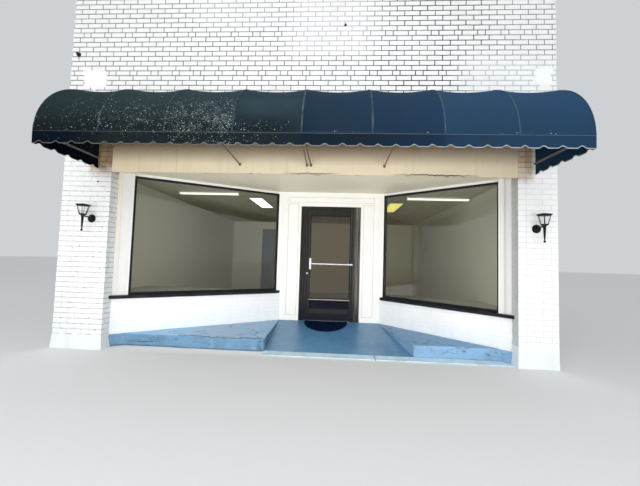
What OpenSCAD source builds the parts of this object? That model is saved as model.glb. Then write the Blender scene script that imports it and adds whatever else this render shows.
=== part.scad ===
// A one-storey shop in a row: brick front with a recessed entrance between two
// slanted display windows, a ribbed quarter-round awning and two wall lanterns.

/* [Building] */
// Width across both party walls
body_w = 6650; // [6400:10:7200]
// Depth from the front face to the back face
body_d = 7000; // [6000:50:9000]
// Thickness of the front wall and its two piers
front_t = 300; // [250:5:350]
// Thickness of the party walls and the back wall
party_t = 200; // [150:5:250]
// Height of the front wall, up to its coping
front_h = 5250; // [4900:10:5800]
// Height of the party walls, up to their coping
party_h = 4750; // [4600:10:4850]
// Height of the back wall, up to its coping
back_h = 4550; // [4450:10:4600]
// Width of the left pier
left_pier_w = 690; // [600:5:800]
// Width of the right pier
right_pier_w = 492; // [420:2:600]
// Height of the roof deck's underside
roof_z = 4150; // [4000:10:4200]
// Thickness of the roof deck
roof_t = 180; // [120:5:220]
// Thickness of the copings
coping_t = 75; // [50:5:100]
// How far a coping stands out past its wall
coping_out = 35; // [20:5:60]
// Width of the back door's opening
back_door_w = 1000; // [900:10:1100]
// Height of the back door's opening
back_door_h = 2150; // [2050:10:2200]
// Distance from the left party wall to the back door's opening
back_door_in = 1025; // [600:5:1500]
// Face width of the back door's frame
back_frame_w = 45; // [40:1:60]
// How far the back door's frame is set in from the back face
back_set = 20; // [10:5:40]

/* [Shopfront] */
// Height from the pavement to the bottom of the fascia
fascia_z = 2430; // [2350:5:2500]
// Height of the fascia
fascia_h = 570; // [450:10:650]
// Thickness of the fascia boards
fascia_t = 45; // [30:5:60]
// Height from the pavement to the soffit of the entrance, at the door wall
soffit_z = 2545; // [2530:5:2600]
// Fall of the soffit from the door wall to the street
soffit_fall = 72; // [40:2:80]
// Thickness of the soffit boards
soffit_t = 30; // [20:5:40]
// Thickness of the ceiling
ceiling_t = 30; // [20:5:50]
// Depth from the front face to the door wall
recess_d = 1680; // [1400:10:1900]
// Rise of the doorway above the pavement
step_h = 170; // [120:5:190]
// Width of the door wall between the two windows
door_wall_w = 1955; // [1850:5:2100]
// Thickness of the door wall
door_wall_t = 130; // [120:5:160]
// How far the doorway's middle lies to the right of the building's middle
door_shift = 390; // [300:5:450]
// Depth from the front face to the outer end of the windows
window_start = 145; // [110:5:200]
// How far the left bulkhead's face reaches past the left end of the door wall
left_face_in = 64; // [50:2:80]
// How far the right bulkhead's face reaches past the right end of the door wall
right_face_in = 52; // [44:2:70]
// Thickness of the bulkhead under a window
bulkhead_t = 200; // [180:5:240]
// Height of the left window's sill
left_sill_z = 705; // [600:5:760]
// Height of the right window's sill
right_sill_z = 640; // [560:5:760]
// Thickness of the sills
sill_t = 46; // [36:2:80]
// How far a sill stands out past its bulkhead
sill_out = 40; // [30:5:60]
// Distance from a sill's inner end to the door wall
sill_end = 45; // [30:5:60]
// Width of the casing between the left pier and its window
left_casing_w = 205; // [180:5:240]
// Width of the casing between the right pier and its window
right_casing_w = 170; // [150:5:200]
// Height of the white board over the window frames
head_board_h = 35; // [25:5:60]
// Face width of the window frames
window_bar = 32; // [25:1:45]
// Depth of the window frames
window_frame_d = 60; // [45:5:80]
// Thickness of the shop window glass
pane_t = 10; // [6:1:12]
// Distance from the bulkhead's face back to the window frames
window_set = 48; // [46:1:60]
// Distance from the bulkhead's face back to the casing boards
casing_set = 6; // [4:1:12]
// Clearance between a pane or board and what holds it
pane_fit = 0.3; // [0.2:0.1:0.6]
// Width of the groove between two casing boards
groove_w = 9; // [6:1:14]
// Depth of the grooves of the casings and of the fascia's joints
groove_d = 8; // [5:1:12]
// Width of a joint between two fascia boards
joint_w = 4; // [3:1:8]
// Thickness of the display decks
deck_t = 30; // [20:5:40]

/* [Entrance] */
// Width of the metal door frame, outside
frame_w = 1110; // [1060:5:1160]
// Face width of the door frame's jambs
frame_face = 95; // [70:5:100]
// Face height of the door frame's head
frame_head = 46; // [40:2:70]
// Height of the door frame above the doorway's floor
frame_h = 2115; // [2050:5:2160]
// Depth of the door frame
frame_d = 110; // [90:5:130]
// Thickness of the threshold
threshold_t = 15; // [10:1:20]
// Gap all round the door leaf
leaf_gap = 5; // [5:1:8]
// Thickness of the door leaf
leaf_t = 45; // [40:1:50]
// Face width of the door's stiles
stile_w = 82; // [60:2:100]
// Height of the door's top rail
top_rail_h = 118; // [90:2:140]
// Height of the door's bottom rail
bottom_rail_h = 95; // [80:5:150]
// Height of the kick panel
kick_h = 260; // [200:5:320]
// Height of the rail over the kick panel
mid_rail_h = 24; // [20:2:40]
// Height of the push bar above the bottom of the leaf
bar_up = 1012; // [900:5:1100]
// Height of the lock above the bottom of the leaf
lock_up = 845; // [780:5:900]
// Size of the push bar, square
bar_s = 20; // [16:1:26]
// Distance from the leaf's face to the push bar
bar_off = 25; // [20:1:40]
// Height of the white pull on the push bar
pull_h = 170; // [120:5:220]
// Depth of the recessed panels of the door wall
panel_d = 14; // [8:1:20]
// Face width of the boards between the door frame and those panels
board_w = 44; // [20:1:50]
// Face width of the corner boards at the ends of the door wall
post_w = 178; // [150:1:200]
// Height of the long panel over the door
head_panel_h = 105; // [90:5:120]
// Face height of the board between that panel and the soffit
top_board_h = 85; // [70:5:95]
// Face height of the board between that panel and the lower ones
rail_h = 22; // [18:1:28]
// Height of the plinth under the recessed panels
plinth_h = 90; // [60:5:140]
// Radius of the hinge knuckles
knuckle_r = 8; // [7:0.5:9]
// Depth from the front face to the front of the steps and ramp
step_front = 240; // [180:5:300]
// Width of the pale strip at the foot of the ramp and the right step
strip_w = 185; // [120:5:200]
// Thickness of the pale strip
strip_t = 12; // [8:1:20]
// How far the ramp's front is set in from the door wall's left end
ramp_in = 128; // [60:2:200]
// How far the ramp's front reaches past the door wall's right end
ramp_past = 222; // [100:2:300]
// Rise of the two blue steps above the doorway's floor
step_over = 5; // [0:1:15]
// Gap between the door wall and the doormat
mat_gap = 10; // [5:1:30]
// How far the doormat lies to the left of the doorway's middle
mat_shift = 44; // [0:2:60]
// Width of the doormat
mat_w = 780; // [600:10:900]
// Depth of the doormat
mat_d = 560; // [400:10:600]
// Thickness of the doormat
mat_t = 12; // [8:1:14]

/* [Awning] */
// Length of the awning along the front
awning_w = 5890; // [5700:2:6000]
// How far the awning's middle lies to the right of the building's middle
awning_shift = 108; // [60:2:140]
// How far the awning stands out from the front
awning_out = 964; // [850:2:1100]
// Height of the seam between hood and valance
seam_z = 2600; // [2580:5:2660]
// Rise of the hood from the seam to the wall
hood_rise = 845; // [700:5:950]
// Thickness of the fabric in the model
fabric_t = 4; // [3:0.5:6]
// Height of the valance
valance_h = 135; // [110:5:160]
// Depth of the scallops
scallop_h = 32; // [20:1:40]
// Scallops in each bay of the front
bay_scallops = 4; // [2:1:5]
// Number of bays between the ribs
bays = 8; // [6:1:10]
// Size of the square tube of the ribs and rails
tube = 22; // [18:1:28]
// Distance from the awning's middle to its left strut
strut_l = 943; // [800:1:1000]
// Distance from the awning's middle to its right strut
strut_r = 1004; // [900:1:1100]
// Distance between the feet of the middle pair of struts
strut_pair = 52; // [40:1:80]
// Distance between their heads at the front rail
strut_pair_top = 26; // [20:1:80]
// How far below the front rail the struts meet the wall
strut_drop = 34; // [24:2:60]
// Size of the square tube of the struts
strut_t = 14; // [12:1:20]
// Width of the plates at the struts' feet
bracket_w = 34; // [30:1:50]
// Height of the plates at the struts' feet
bracket_h = 40; // [34:1:70]

/* [Lanterns] */
// Distance of the left lantern from the building's middle
left_lantern_x = 2870; // [2800:5:2950]
// Distance of the right lantern from the building's middle
right_lantern_x = 3055; // [3000:5:3120]
// Height of the lanterns' back plates
lantern_z = 1765; // [1700:5:1850]
// How far the lantern's middle stands out from the wall
lantern_out = 165; // [140:5:200]
// Radius of the domed back plate
plate_r = 55; // [45:1:65]
// Width of the lantern's cap across its corners
cap_w = 184; // [160:2:220]
// Width of the glazed cage at its top
cage_top_w = 158; // [140:2:180]
// Width of the glazed cage at its foot
cage_foot_w = 90; // [80:2:110]
// Height of the glazed cage
cage_h = 122; // [100:2:150]
// Width of the cage's bars
cage_bar = 9; // [7:1:12]
// Height of the stem under the cage, down to the ball
stem_h = 200; // [160:5:240]

/* [Ceiling lights] */
// Length of a light
light_l = 1220; // [1150:10:1300]
// Width of a strip light
strip_light_w = 110; // [80:5:140]
// Depth of a strip light below the ceiling
strip_light_d = 50; // [35:5:70]
// Width of a flush panel light
panel_light_w = 300; // [250:10:350]
// Depth of a flush panel light below the ceiling
panel_light_d = 12; // [8:1:20]
// Distance from the left party wall to the left strip light
left_light_in = 465; // [300:5:600]
// Distance from the right party wall to the right strip light
right_light_in = 40; // [20:5:150]
// Distance from the door wall's back to the left strip light
light_back = 90; // [60:5:200]
// Distance from the door wall's back to the left panel light
panel_light_back = 640; // [500:10:800]
// How much farther back the lights on the right are
light_stagger = 150; // [0:10:300]
// Distance from the left party wall to the left panel light
left_panel_in = 1725; // [1700:5:1900]
// Distance from the right party wall to the right panel light
right_panel_in = 1175; // [1000:5:1300]

/* [Hidden] */
$fn = 48;

half_w = body_w / 2;
inner_half = half_w - party_t;
pier_top = fascia_z + fascia_h;
open_l = -half_w + left_pier_w;
open_r = half_w - right_pier_w;
door_wall_l = door_shift - door_wall_w / 2;
door_wall_r = door_shift + door_wall_w / 2;
door_wall_back = recess_d + door_wall_t;

// The two slanted window walls: outer end, inner end, in plan
left_a = [open_l, window_start];
left_b = [door_wall_l + left_face_in, recess_d];
right_a = [open_r, window_start];
right_b = [door_wall_r - right_face_in, recess_d];

// Small offsets of the entrance's parts
ramp_gap = 12;
skirt_t = 12;
frame_set = 12;
leaf_lift = 8;
hinge_out = 2;
hinge_in = 180;
knuckle_h = 36;
knuckle_gap = 0.3;
pin_r = 4;
pin_fit = 0.3;
tab_t = 3;
tab_w = 14;
hinge_leaf_w = 30;
hinge_leaf_t = 5;
cut = 1;

frame_l = door_shift - frame_w / 2;
frame_r = door_shift + frame_w / 2;
frame_y = recess_d + frame_set;
leaf_l = frame_l + frame_face + leaf_gap;
leaf_r = frame_r - frame_face - leaf_gap;
leaf_z0 = step_h + threshold_t + leaf_lift;
leaf_z1 = step_h + frame_h - frame_head - leaf_gap;
hinge_x = (leaf_r + frame_r - frame_face) / 2;
hinge_y = frame_y - knuckle_r - hinge_out;
hinge_h = 3 * knuckle_h;
hinge_zs = [leaf_z0 + hinge_in, (leaf_z0 + leaf_z1) / 2, leaf_z1 - hinge_in - hinge_h];
glass_z0 = leaf_z0 + bottom_rail_h + kick_h + mid_rail_h;
glass_z1 = leaf_z1 - top_rail_h;

// Inner edges of the two steps, front and back, in plan
step_l_front = door_wall_l + ramp_in;
step_l_back = left_b[0] + ramp_gap;
step_r_front = door_wall_r + ramp_past;
step_r_back = right_b[0] - ramp_gap;

awning_l = awning_shift - awning_w / 2;
awning_r = awning_shift + awning_w / 2;
bay_w = awning_w / bays;
scallop_w = bay_w / bay_scallops;

masonry = "white";
blue = [0.42, 0.58, 0.72];
black = [0.10, 0.12, 0.14];
bronze = [0.16, 0.15, 0.13];
trim = [0.95, 0.94, 0.88];

// Unit vectors along a window wall and square to it, towards the shop
function along(a, b) = (b - a) / norm(b - a);
function inward(a, b) = let (u = along(a, b)) a[0] < b[0] ? [-u[1], u[0]] : [u[1], -u[0]];

// Point of a line parallel to a-b, d behind it, at a given x or y
function at_x(a, b, d, x) =
    let (u = along(a, b), p = a + d * inward(a, b)) [x, p[1] + u[1] * (x - p[0]) / u[0]];
function at_y(a, b, d, y) =
    let (u = along(a, b), p = a + d * inward(a, b)) [p[0] + u[0] * (y - p[1]) / u[1], y];

// Quarter ellipse from the seam up to the wall
function quarter(out, rise, n = 24) =
    [for (i = [0 : n]) let (t = 90 * i / n) [-out * cos(t), rise * sin(t)]];

// Puts the middle of the plan at the origin
module placed() translate([0, -body_d / 2, 0]) children();

module slab(x0, x1, y0, y1, z0, z1)
    translate([x0, y0, z0]) cube([x1 - x0, y1 - y0, z1 - z0]);

// A vertical prism over a plan outline
module prism(points, z0, z1)
    translate([0, 0, z0]) linear_extrude(z1 - z0) polygon(points);

// Corner of a piece of a window wall, s along it and d behind it. Before the outer
// end it is cut by the pier's face, and past the inner end by the door wall's edge.
function window_len(a, b) = norm(b - a);
function wall_end(b) = b[0] < door_shift ? door_wall_l : door_wall_r;
function corner(a, b, s, d) =
    s < 0 ? at_x(a, b, d, a[0])
    : s > window_len(a, b) ? at_x(a, b, d, wall_end(b))
    : a + s * along(a, b) + d * inward(a, b);

// An upright piece of a window wall
module window_piece(a, b, s0, s1, d0, d1, z0, z1)
    prism([corner(a, b, s0, d0), corner(a, b, s1, d0), corner(a, b, s1, d1), corner(a, b, s0, d1)], z0, z1);

// The soffit falls towards the street; what lies under it is cut a set drop below it
soffit_low = soffit_z - soffit_fall;
module under_soffit(drop) intersection() {
    children();
    translate([-half_w, 0, 0]) rotate([90, 0, 90]) linear_extrude(body_w)
        polygon([[0, 0], [door_wall_back, 0], [door_wall_back, soffit_z - drop], [recess_d, soffit_z - drop],
                 [0, soffit_low - drop]]);
}

module left_pier() color(masonry) placed() slab(-half_w, open_l, 0, front_t, 0, pier_top);
module right_pier() color(masonry) placed() slab(open_r, half_w, 0, front_t, 0, pier_top);

// The fascia's boards end on joints at these shares of its length
fascia_joints = [0.168, 0.576, 0.77];
module fascia() color([0.93, 0.89, 0.78]) placed() difference() {
    slab(open_l, open_r, 0, fascia_t, fascia_z, pier_top);
    for (share = fascia_joints)
        translate([open_l + share * (open_r - open_l), 0, 0])
            slab(-joint_w / 2, joint_w / 2, -cut, groove_d, fascia_z - cut, pier_top + cut);
}

module lintel_beam() color("dimgray") placed()
    slab(open_l, open_r, fascia_t, front_t, soffit_z + soffit_t, pier_top);

module upper_front_wall() color(masonry) placed()
    slab(-half_w, half_w, 0, front_t, pier_top, front_h);

module front_coping() color("silver") placed()
    slab(-half_w, half_w, -coping_out, front_t + coping_out, front_h, front_h + coping_t);

module party_wall(side) placed()
    slab(side * half_w - (side > 0 ? party_t : 0), side * half_w + (side > 0 ? 0 : party_t),
         front_t, body_d, 0, party_h);
module left_party_wall() color(masonry) party_wall(-1);
module right_party_wall() color(masonry) party_wall(1);

back_door_l = -inner_half + back_door_in;
back_door_r = back_door_l + back_door_w;
back_door_top = step_h + back_door_h;
back_leaf_y = body_d - party_t + back_frame_w;
module back_wall() color(masonry) placed() difference() {
    slab(-inner_half, inner_half, body_d - party_t, body_d, 0, back_h);
    slab(back_door_l, back_door_r, body_d - party_t - cut, body_d + cut, step_h, back_door_top);
}

// Steel back door in its frame, with two pressed panels and a lever handle
handle_h = 180;
handle_w = 40;
handle_in = 60;
lever_l = 110;
lever_t = 20;
press_in = 90;
press_share = 0.34;
press_feet = [0.12, 0.52];
module back_door() color("slategray") placed() {
    y1 = body_d - back_set;
    difference() {
        slab(back_door_l, back_door_r, body_d - party_t, y1, step_h, back_door_top);
        slab(back_door_l + back_frame_w, back_door_r - back_frame_w, body_d - party_t - cut, y1 + cut,
             step_h - cut, back_door_top - back_frame_w);
    }
    difference() {
        slab(back_door_l + back_frame_w, back_door_r - back_frame_w, back_leaf_y, back_leaf_y + leaf_t,
             step_h, back_door_top - back_frame_w);
        for (foot = press_feet)
            slab(back_door_l + back_frame_w + press_in, back_door_r - back_frame_w - press_in,
                 back_leaf_y + leaf_t - groove_d, back_leaf_y + leaf_t + cut,
                 step_h + back_door_h * foot, step_h + back_door_h * (foot + press_share));
    }
    face = back_leaf_y + leaf_t;
    x = back_door_r - back_frame_w - handle_in;
    z = step_h + back_door_h / 2;
    slab(x - handle_w, x, face, face + bar_s / 2, z - handle_h / 2, z + handle_h / 2);
    slab(x - lever_l, x - bar_s / 2, face + bar_s / 2, face + bar_s / 2 + lever_t, z, z + lever_t);
}

module rear_copings() color("silver") placed() {
    for (side = [-1, 1])
        slab(side > 0 ? inner_half - coping_out : -half_w, side > 0 ? half_w : -inner_half + coping_out,
             front_t, body_d, party_h, party_h + coping_t);
    slab(-inner_half, inner_half, body_d - party_t - coping_out, body_d + coping_out,
         back_h, back_h + coping_t);
}

module roof_deck() color("gray") placed()
    slab(-inner_half, inner_half, front_t, body_d - party_t, roof_z, roof_z + roof_t);

module shop_floor() color("tan") placed()
    prism([[-inner_half, door_wall_back], [door_wall_l, door_wall_back], [door_wall_l, recess_d],
           [door_wall_r, recess_d], [door_wall_r, door_wall_back], [inner_half, door_wall_back],
           [inner_half, body_d - party_t], [-inner_half, body_d - party_t]], 0, step_h);

module shop_ceiling() color("ivory") placed()
    slab(-inner_half, inner_half, front_t, body_d - party_t,
         soffit_z + soffit_t, soffit_z + soffit_t + ceiling_t);

// Boards under the beam, level above and falling to the street below
module entry_soffit() color("beige") placed() difference() {
    prism([[open_l, fascia_t], [open_r, fascia_t], [open_r, front_t],
           at_y(right_a, right_b, bulkhead_t, front_t), at_y(right_a, right_b, bulkhead_t, door_wall_back),
           at_y(left_a, left_b, bulkhead_t, door_wall_back), at_y(left_a, left_b, bulkhead_t, front_t),
           [open_l, front_t]], soffit_low, soffit_z + soffit_t);
    translate([-half_w, 0, 0]) rotate([90, 0, 90]) linear_extrude(body_w)
        polygon([[0, soffit_low - cut], [door_wall_back + cut, soffit_low - cut],
                 [door_wall_back + cut, soffit_z], [recess_d, soffit_z], [0, soffit_low]]);
}

module bulkhead(a, b, top) prism([
    a, b, [wall_end(b), recess_d], [wall_end(b), door_wall_back], at_y(a, b, bulkhead_t, door_wall_back),
    at_y(a, b, bulkhead_t, front_t), [a[0], front_t]], 0, top);
module left_bulkhead() color(masonry) placed() bulkhead(left_a, left_b, left_sill_z - sill_t);
module right_bulkhead() color(masonry) placed() bulkhead(right_a, right_b, right_sill_z - sill_t);

frame_back = window_set + window_frame_d;
sill_back = frame_back + groove_w;
module window_sill(a, b, top) {
    stop = window_len(a, b) - sill_end;
    prism([corner(a, b, -cut, -sill_out), corner(a, b, stop, -sill_out), corner(a, b, stop, 0), b,
           [wall_end(b), recess_d], at_x(a, b, sill_back, wall_end(b)), at_x(a, b, sill_back, a[0])],
          top - sill_t, top);
}
module left_window_sill() color(bronze) placed() window_sill(left_a, left_b, left_sill_z);
module right_window_sill() color(bronze) placed() window_sill(right_a, right_b, right_sill_z);

// Casing beside the pier, boards with grooves between them, and the head board
left_casing_joints = [55, 165];
right_casing_joints = [56, 86];
module casing(a, b, w, joints, sill_z) under_soffit(0) {
    difference() {
        window_piece(a, b, -cut, w, casing_set, frame_back, sill_z, soffit_z);
        for (s = joints)
            window_piece(a, b, s, s + groove_w, 0, casing_set + groove_d, sill_z - cut, soffit_z + cut);
    }
    difference() {
        window_piece(a, b, w, window_len(a, b) + cut, window_set, frame_back, sill_z, soffit_z);
        under_soffit(head_board_h)
            window_piece(a, b, w - cut, window_len(a, b) + 2 * window_set, 0, frame_back + groove_w,
                         sill_z - cut, soffit_z);
    }
}
module window_casings() color(trim) placed() {
    casing(left_a, left_b, left_casing_w, left_casing_joints, left_sill_z);
    casing(right_a, right_b, right_casing_w, right_casing_joints, right_sill_z);
}

// Frame round the glass of one window; the face has a raised outer edge
bead = 12;
module window_opening(a, b, w, side, d0, d1, sill_z)
    under_soffit(head_board_h + side)
        window_piece(a, b, w + side, window_len(a, b) - face_end(a, b) - side, d0, d1,
                     sill_z + side, soffit_z);
module window_ring(a, b, w, sill_z) difference() {
    under_soffit(head_board_h + pane_fit)
        window_piece(a, b, w + pane_fit, window_len(a, b) + cut, window_set, frame_back, sill_z, soffit_z);
    window_opening(a, b, w, window_bar, 0, frame_back + groove_w, sill_z);
    window_opening(a, b, w, bead, 0, window_set + groove_d / 2, sill_z);
}
pane_set = window_frame_d / 3;
module window_pane(a, b, w, sill_z)
    window_opening(a, b, w, window_bar + pane_fit, window_set + pane_set, window_set + pane_set + pane_t,
                   sill_z);

// How far before its inner end a window wall's frame meets the end of the door wall
function face_end(a, b) =
    window_len(a, b) - (at_x(a, b, window_set, wall_end(b)) - a - window_set * inward(a, b)) * along(a, b);

module left_window_frame() color(black) placed() window_ring(left_a, left_b, left_casing_w, left_sill_z);
module right_window_frame() color(black) placed() window_ring(right_a, right_b, right_casing_w, right_sill_z);
module left_window_glass() color([0.6, 0.7, 0.75, 0.4]) placed()
    window_pane(left_a, left_b, left_casing_w, left_sill_z);
module right_window_glass() color([0.6, 0.7, 0.75, 0.4]) placed()
    window_pane(right_a, right_b, right_casing_w, right_sill_z);

// Deck behind a window: a board on the bulkhead and a panel down to the floor
riser_back = door_wall_back + deck_t;
module deck(a, b, side, sill_z) {
    wall_x = side * inner_half;
    top = sill_z - sill_t + deck_t;
    prism([[wall_x, front_t], [a[0], front_t], at_y(a, b, sill_back + pane_fit, front_t + cut),
           at_x(a, b, sill_back + pane_fit, wall_end(b)), [wall_end(b), riser_back], [wall_x, riser_back]],
          top - deck_t, top);
    slab(min(wall_end(b), wall_x), max(wall_end(b), wall_x), door_wall_back, riser_back,
         step_h, top - deck_t);
}
module display_decks() color("burlywood") placed() {
    deck(left_a, left_b, -1, left_sill_z);
    deck(right_a, right_b, 1, right_sill_z);
}

// Panelled door wall. The panels beside the door run from the plinth to the head
// board, and one long panel crosses over the door.
head_top = soffit_z - top_board_h;
head_line = head_top - head_panel_h;
module sunk(x0, x1, z0, z1) slab(x0, x1, recess_d - cut, recess_d + panel_d, z0, z1);
module left_door_surround() color(trim) placed() difference() {
    slab(door_wall_l, frame_l, recess_d, door_wall_back, step_h, soffit_z);
    sunk(door_wall_l + post_w, frame_l - board_w, step_h + plinth_h, head_line - rail_h);
    sunk(door_wall_l + post_w, frame_l + cut, head_line, head_top);
    slab(left_b[0], left_b[0] + groove_w / 2, recess_d - cut, recess_d + groove_d / 2,
         step_h - cut, soffit_z + cut);
}
module right_door_surround() color(trim) placed() difference() {
    slab(frame_r, door_wall_r, recess_d, door_wall_back, step_h, soffit_z);
    sunk(frame_r + board_w, door_wall_r - post_w, step_h + plinth_h, head_line - rail_h);
    sunk(frame_r - cut, door_wall_r - post_w, head_line, head_top);
    slab(door_wall_r - post_w / 2, door_wall_r - post_w / 2 + groove_w, recess_d - cut, recess_d + groove_d,
         step_h - cut, soffit_z + cut);
}
module door_head_panel() color(trim) placed() difference() {
    slab(frame_l, frame_r, recess_d, door_wall_back, step_h + frame_h, soffit_z);
    sunk(frame_l - cut, frame_r + cut, head_line, head_top);
}

stop_w = 14;
module door_frame() color(bronze) placed() {
    y1 = frame_y + frame_d;
    stop_y = frame_y + leaf_t + leaf_gap;
    for (side = [-1, 1]) {
        face = side < 0 ? frame_l : frame_r - frame_face;
        slab(face, face + frame_face, frame_y, y1, step_h, step_h + frame_h);
        slab(side < 0 ? face + frame_face : face - stop_w, side < 0 ? face + frame_face + stop_w : face,
             stop_y, y1, step_h, step_h + frame_h);
    }
    slab(frame_l, frame_r, frame_y, y1, step_h + frame_h - frame_head, step_h + frame_h);
    slab(frame_l + frame_face, frame_r - frame_face, stop_y, y1,
         step_h + frame_h - frame_head - stop_w, step_h + frame_h - frame_head);
    slab(frame_l + frame_face, frame_r - frame_face, frame_y, y1, step_h, step_h + threshold_t);
}

// One knuckle with its tab; the tab reaches from the knuckle to the face behind it
module knuckle(z0, h, side) {
    difference() {
        union() {
            translate([hinge_x, hinge_y, z0]) cylinder(r = knuckle_r, h = h);
            slab(side < 0 ? hinge_x - tab_w : hinge_x, side < 0 ? hinge_x : hinge_x + tab_w,
                 hinge_y + knuckle_r - tab_t, hinge_y + knuckle_r, z0, z0 + h);
        }
        translate([hinge_x, hinge_y, z0 - cut]) cylinder(r = pin_r + pin_fit, h = h + 2 * cut);
    }
}
// Plate of one hinge, screwed to the face of the frame or of the leaf
module plate(z0, side) {
    x0 = side < 0 ? hinge_x - tab_w - hinge_leaf_w : hinge_x + tab_w;
    slab(x0, x0 + hinge_leaf_w, frame_y - hinge_leaf_t, frame_y, z0, z0 + hinge_h);
}

module door_hinges() color("dimgray") placed()
    for (z = hinge_zs) {
        knuckle(z, knuckle_h, 1);
        knuckle(z + 2 * knuckle_h, knuckle_h, 1);
        plate(z, 1);
        translate([hinge_x, hinge_y, z]) cylinder(r = pin_r, h = hinge_h);
    }

module door_leaf() color(bronze) placed() {
    difference() {
        slab(leaf_l, leaf_r, frame_y, frame_y + leaf_t, leaf_z0, leaf_z1);
        slab(leaf_l + stile_w, leaf_r - stile_w, frame_y - cut, frame_y + leaf_t + cut, glass_z0, glass_z1);
        slab(leaf_l + stile_w, leaf_r - stile_w, frame_y - cut, frame_y + leaf_t + cut,
             leaf_z0 + bottom_rail_h, glass_z0 - mid_rail_h);
    }
    for (z = hinge_zs) {
        knuckle(z + knuckle_h + knuckle_gap, knuckle_h - 2 * knuckle_gap, -1);
        plate(z, -1);
    }
}

door_glass_t = 6;
module door_glass() color([0.6, 0.7, 0.75, 0.4]) placed()
    slab(leaf_l + stile_w + pane_fit, leaf_r - stile_w - pane_fit, frame_y + (leaf_t - door_glass_t) / 2,
         frame_y + (leaf_t + door_glass_t) / 2, glass_z0 + pane_fit, glass_z1 - pane_fit);

// Kick panel with a raised field
kick_set = 12;
field_in = 40;
module door_kick_panel() color([0.12, 0.14, 0.17]) placed() {
    z0 = leaf_z0 + bottom_rail_h + pane_fit;
    z1 = glass_z0 - mid_rail_h - pane_fit;
    x0 = leaf_l + stile_w + pane_fit;
    x1 = leaf_r - stile_w - pane_fit;
    slab(x0, x1, frame_y + kick_set, frame_y + leaf_t - kick_set, z0, z1);
    slab(x0 + field_in, x1 - field_in, frame_y + kick_set / 2, frame_y + kick_set,
         z0 + field_in, z1 - field_in);
}

// Push bar on two stand-offs, pull, lock cylinder and the bright cap of the middle rail
lock_r = 14;
bar_reach = 35;
cap_h = 14;
cap_t = 4;
pull_t = 12;
module door_fittings() color("white") placed() {
    bar_z = leaf_z0 + bar_up;
    bar_y = frame_y - bar_off;
    x0 = leaf_l + stile_w - bar_s / 2;
    x1 = leaf_r - bar_reach;
    slab(x0, x1, bar_y - bar_s, bar_y, bar_z, bar_z + bar_s);
    for (x = [x0, leaf_r - stile_w + bar_s])
        slab(x, x + bar_s, bar_y, frame_y, bar_z, bar_z + bar_s);
    slab(x0 + bar_s, x0 + 2 * bar_s, bar_y - bar_s - pull_t, bar_y - bar_s,
         bar_z + bar_s / 2 - pull_h / 2, bar_z + bar_s / 2 + pull_h / 2);
    translate([leaf_l + stile_w / 2, frame_y - lock_r, leaf_z0 + lock_up]) rotate([-90, 0, 0])
        cylinder(r = lock_r, h = lock_r);
    slab(leaf_l + stile_w, leaf_r - stile_w, frame_y - cap_t, frame_y, glass_z0 - mid_rail_h / 2 - cap_h / 2,
         glass_z0 - mid_rail_h / 2 + cap_h / 2);
}

module entry_ramp() color([0.36, 0.46, 0.56]) placed() intersection() {
    prism([[step_l_front, step_front], [step_r_front, step_front], [step_r_back, recess_d],
           [step_l_back, recess_d]], 0, step_h);
    translate([-half_w, 0, 0]) rotate([90, 0, 90])
        linear_extrude(body_w)
            polygon([[step_front, 0], [recess_d, 0], [recess_d, step_h], [step_front, strip_t]]);
}

// Blue step before a bulkhead; a thin skirt of it runs on along the bulkhead to the pier
module step(a, b, x_front, x_back)
    prism([at_x(a, b, -skirt_t, a[0]), at_y(a, b, -skirt_t, step_front), [x_front, step_front],
           [x_back, recess_d], b, a], 0, step_h + step_over);
module left_step() color(blue) placed() step(left_a, left_b, step_l_front, step_l_back);
module right_step() color(blue) placed() step(right_a, right_b, step_r_front, step_r_back);

module entry_strip() color("lightgray") placed() difference() {
    slab(step_l_front, open_r, step_front - strip_w, step_front, 0, strip_t);
    step(right_a, right_b, step_r_front, step_r_back);
    bulkhead(right_a, right_b, step_h);
}

ramp_angle = atan2(step_h - strip_t, recess_d - step_front);
module doormat() color([0.08, 0.12, 0.22]) placed()
    translate([door_shift - mat_shift, recess_d, step_h]) rotate([ramp_angle, 0, 0])
        translate([0, -mat_gap, pane_fit])
        linear_extrude(mat_t) polygon([for (i = [0 : 32]) let (t = 180 + 180 * i / 32)
            [mat_w / 2 * cos(t), mat_d * sin(t)]]);

function reverse(v) = [for (i = [len(v) - 1 : -1 : 0]) v[i]];

// Profile of a shell of the hood, t thick, whose outside is a quarter ellipse
function shell(out, rise, t) = concat(quarter(out, rise), reverse(quarter(out - t, rise - t)));
module across(x0, x1)
    translate([x0, 0, seam_z]) rotate([90, 0, 90]) linear_extrude(x1 - x0) children();

module awning_hood() color(black) placed() {
    across(awning_l, awning_r) polygon(shell(awning_out, hood_rise, fabric_t));
    for (x = [awning_l, awning_r - fabric_t])
        across(x, x + fabric_t) polygon(concat(quarter(awning_out - cut, hood_rise - cut), [[0, 0]]));
}

// Scalloped strip along X, hanging down from z = 0
scallop_steps = 6;
function scallops(n, w) = [for (i = [0 : n - 1]) for (k = [0 : scallop_steps - 1])
    let (t = k / scallop_steps) [(i + t) * w, -valance_h + scallop_h - scallop_h * sin(180 * t)]];
module valance_strip(n, w) translate([0, fabric_t, 0]) rotate([90, 0, 0])
    linear_extrude(fabric_t)
        polygon(concat([[0, 0]], scallops(n, w), [[n * w, -valance_h + scallop_h], [n * w, 0]]));

side_scallops = round(awning_out / scallop_w);
valance_fit = 2;
module awning_valance() color(black) placed() {
    translate([awning_l, -awning_out, seam_z]) valance_strip(bays * bay_scallops, scallop_w);
    for (x = [awning_l + fabric_t, awning_r])
        translate([x, -awning_out, seam_z]) rotate(90)
            valance_strip(side_scallops, (awning_out - valance_fit) / side_scallops);
}

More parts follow.
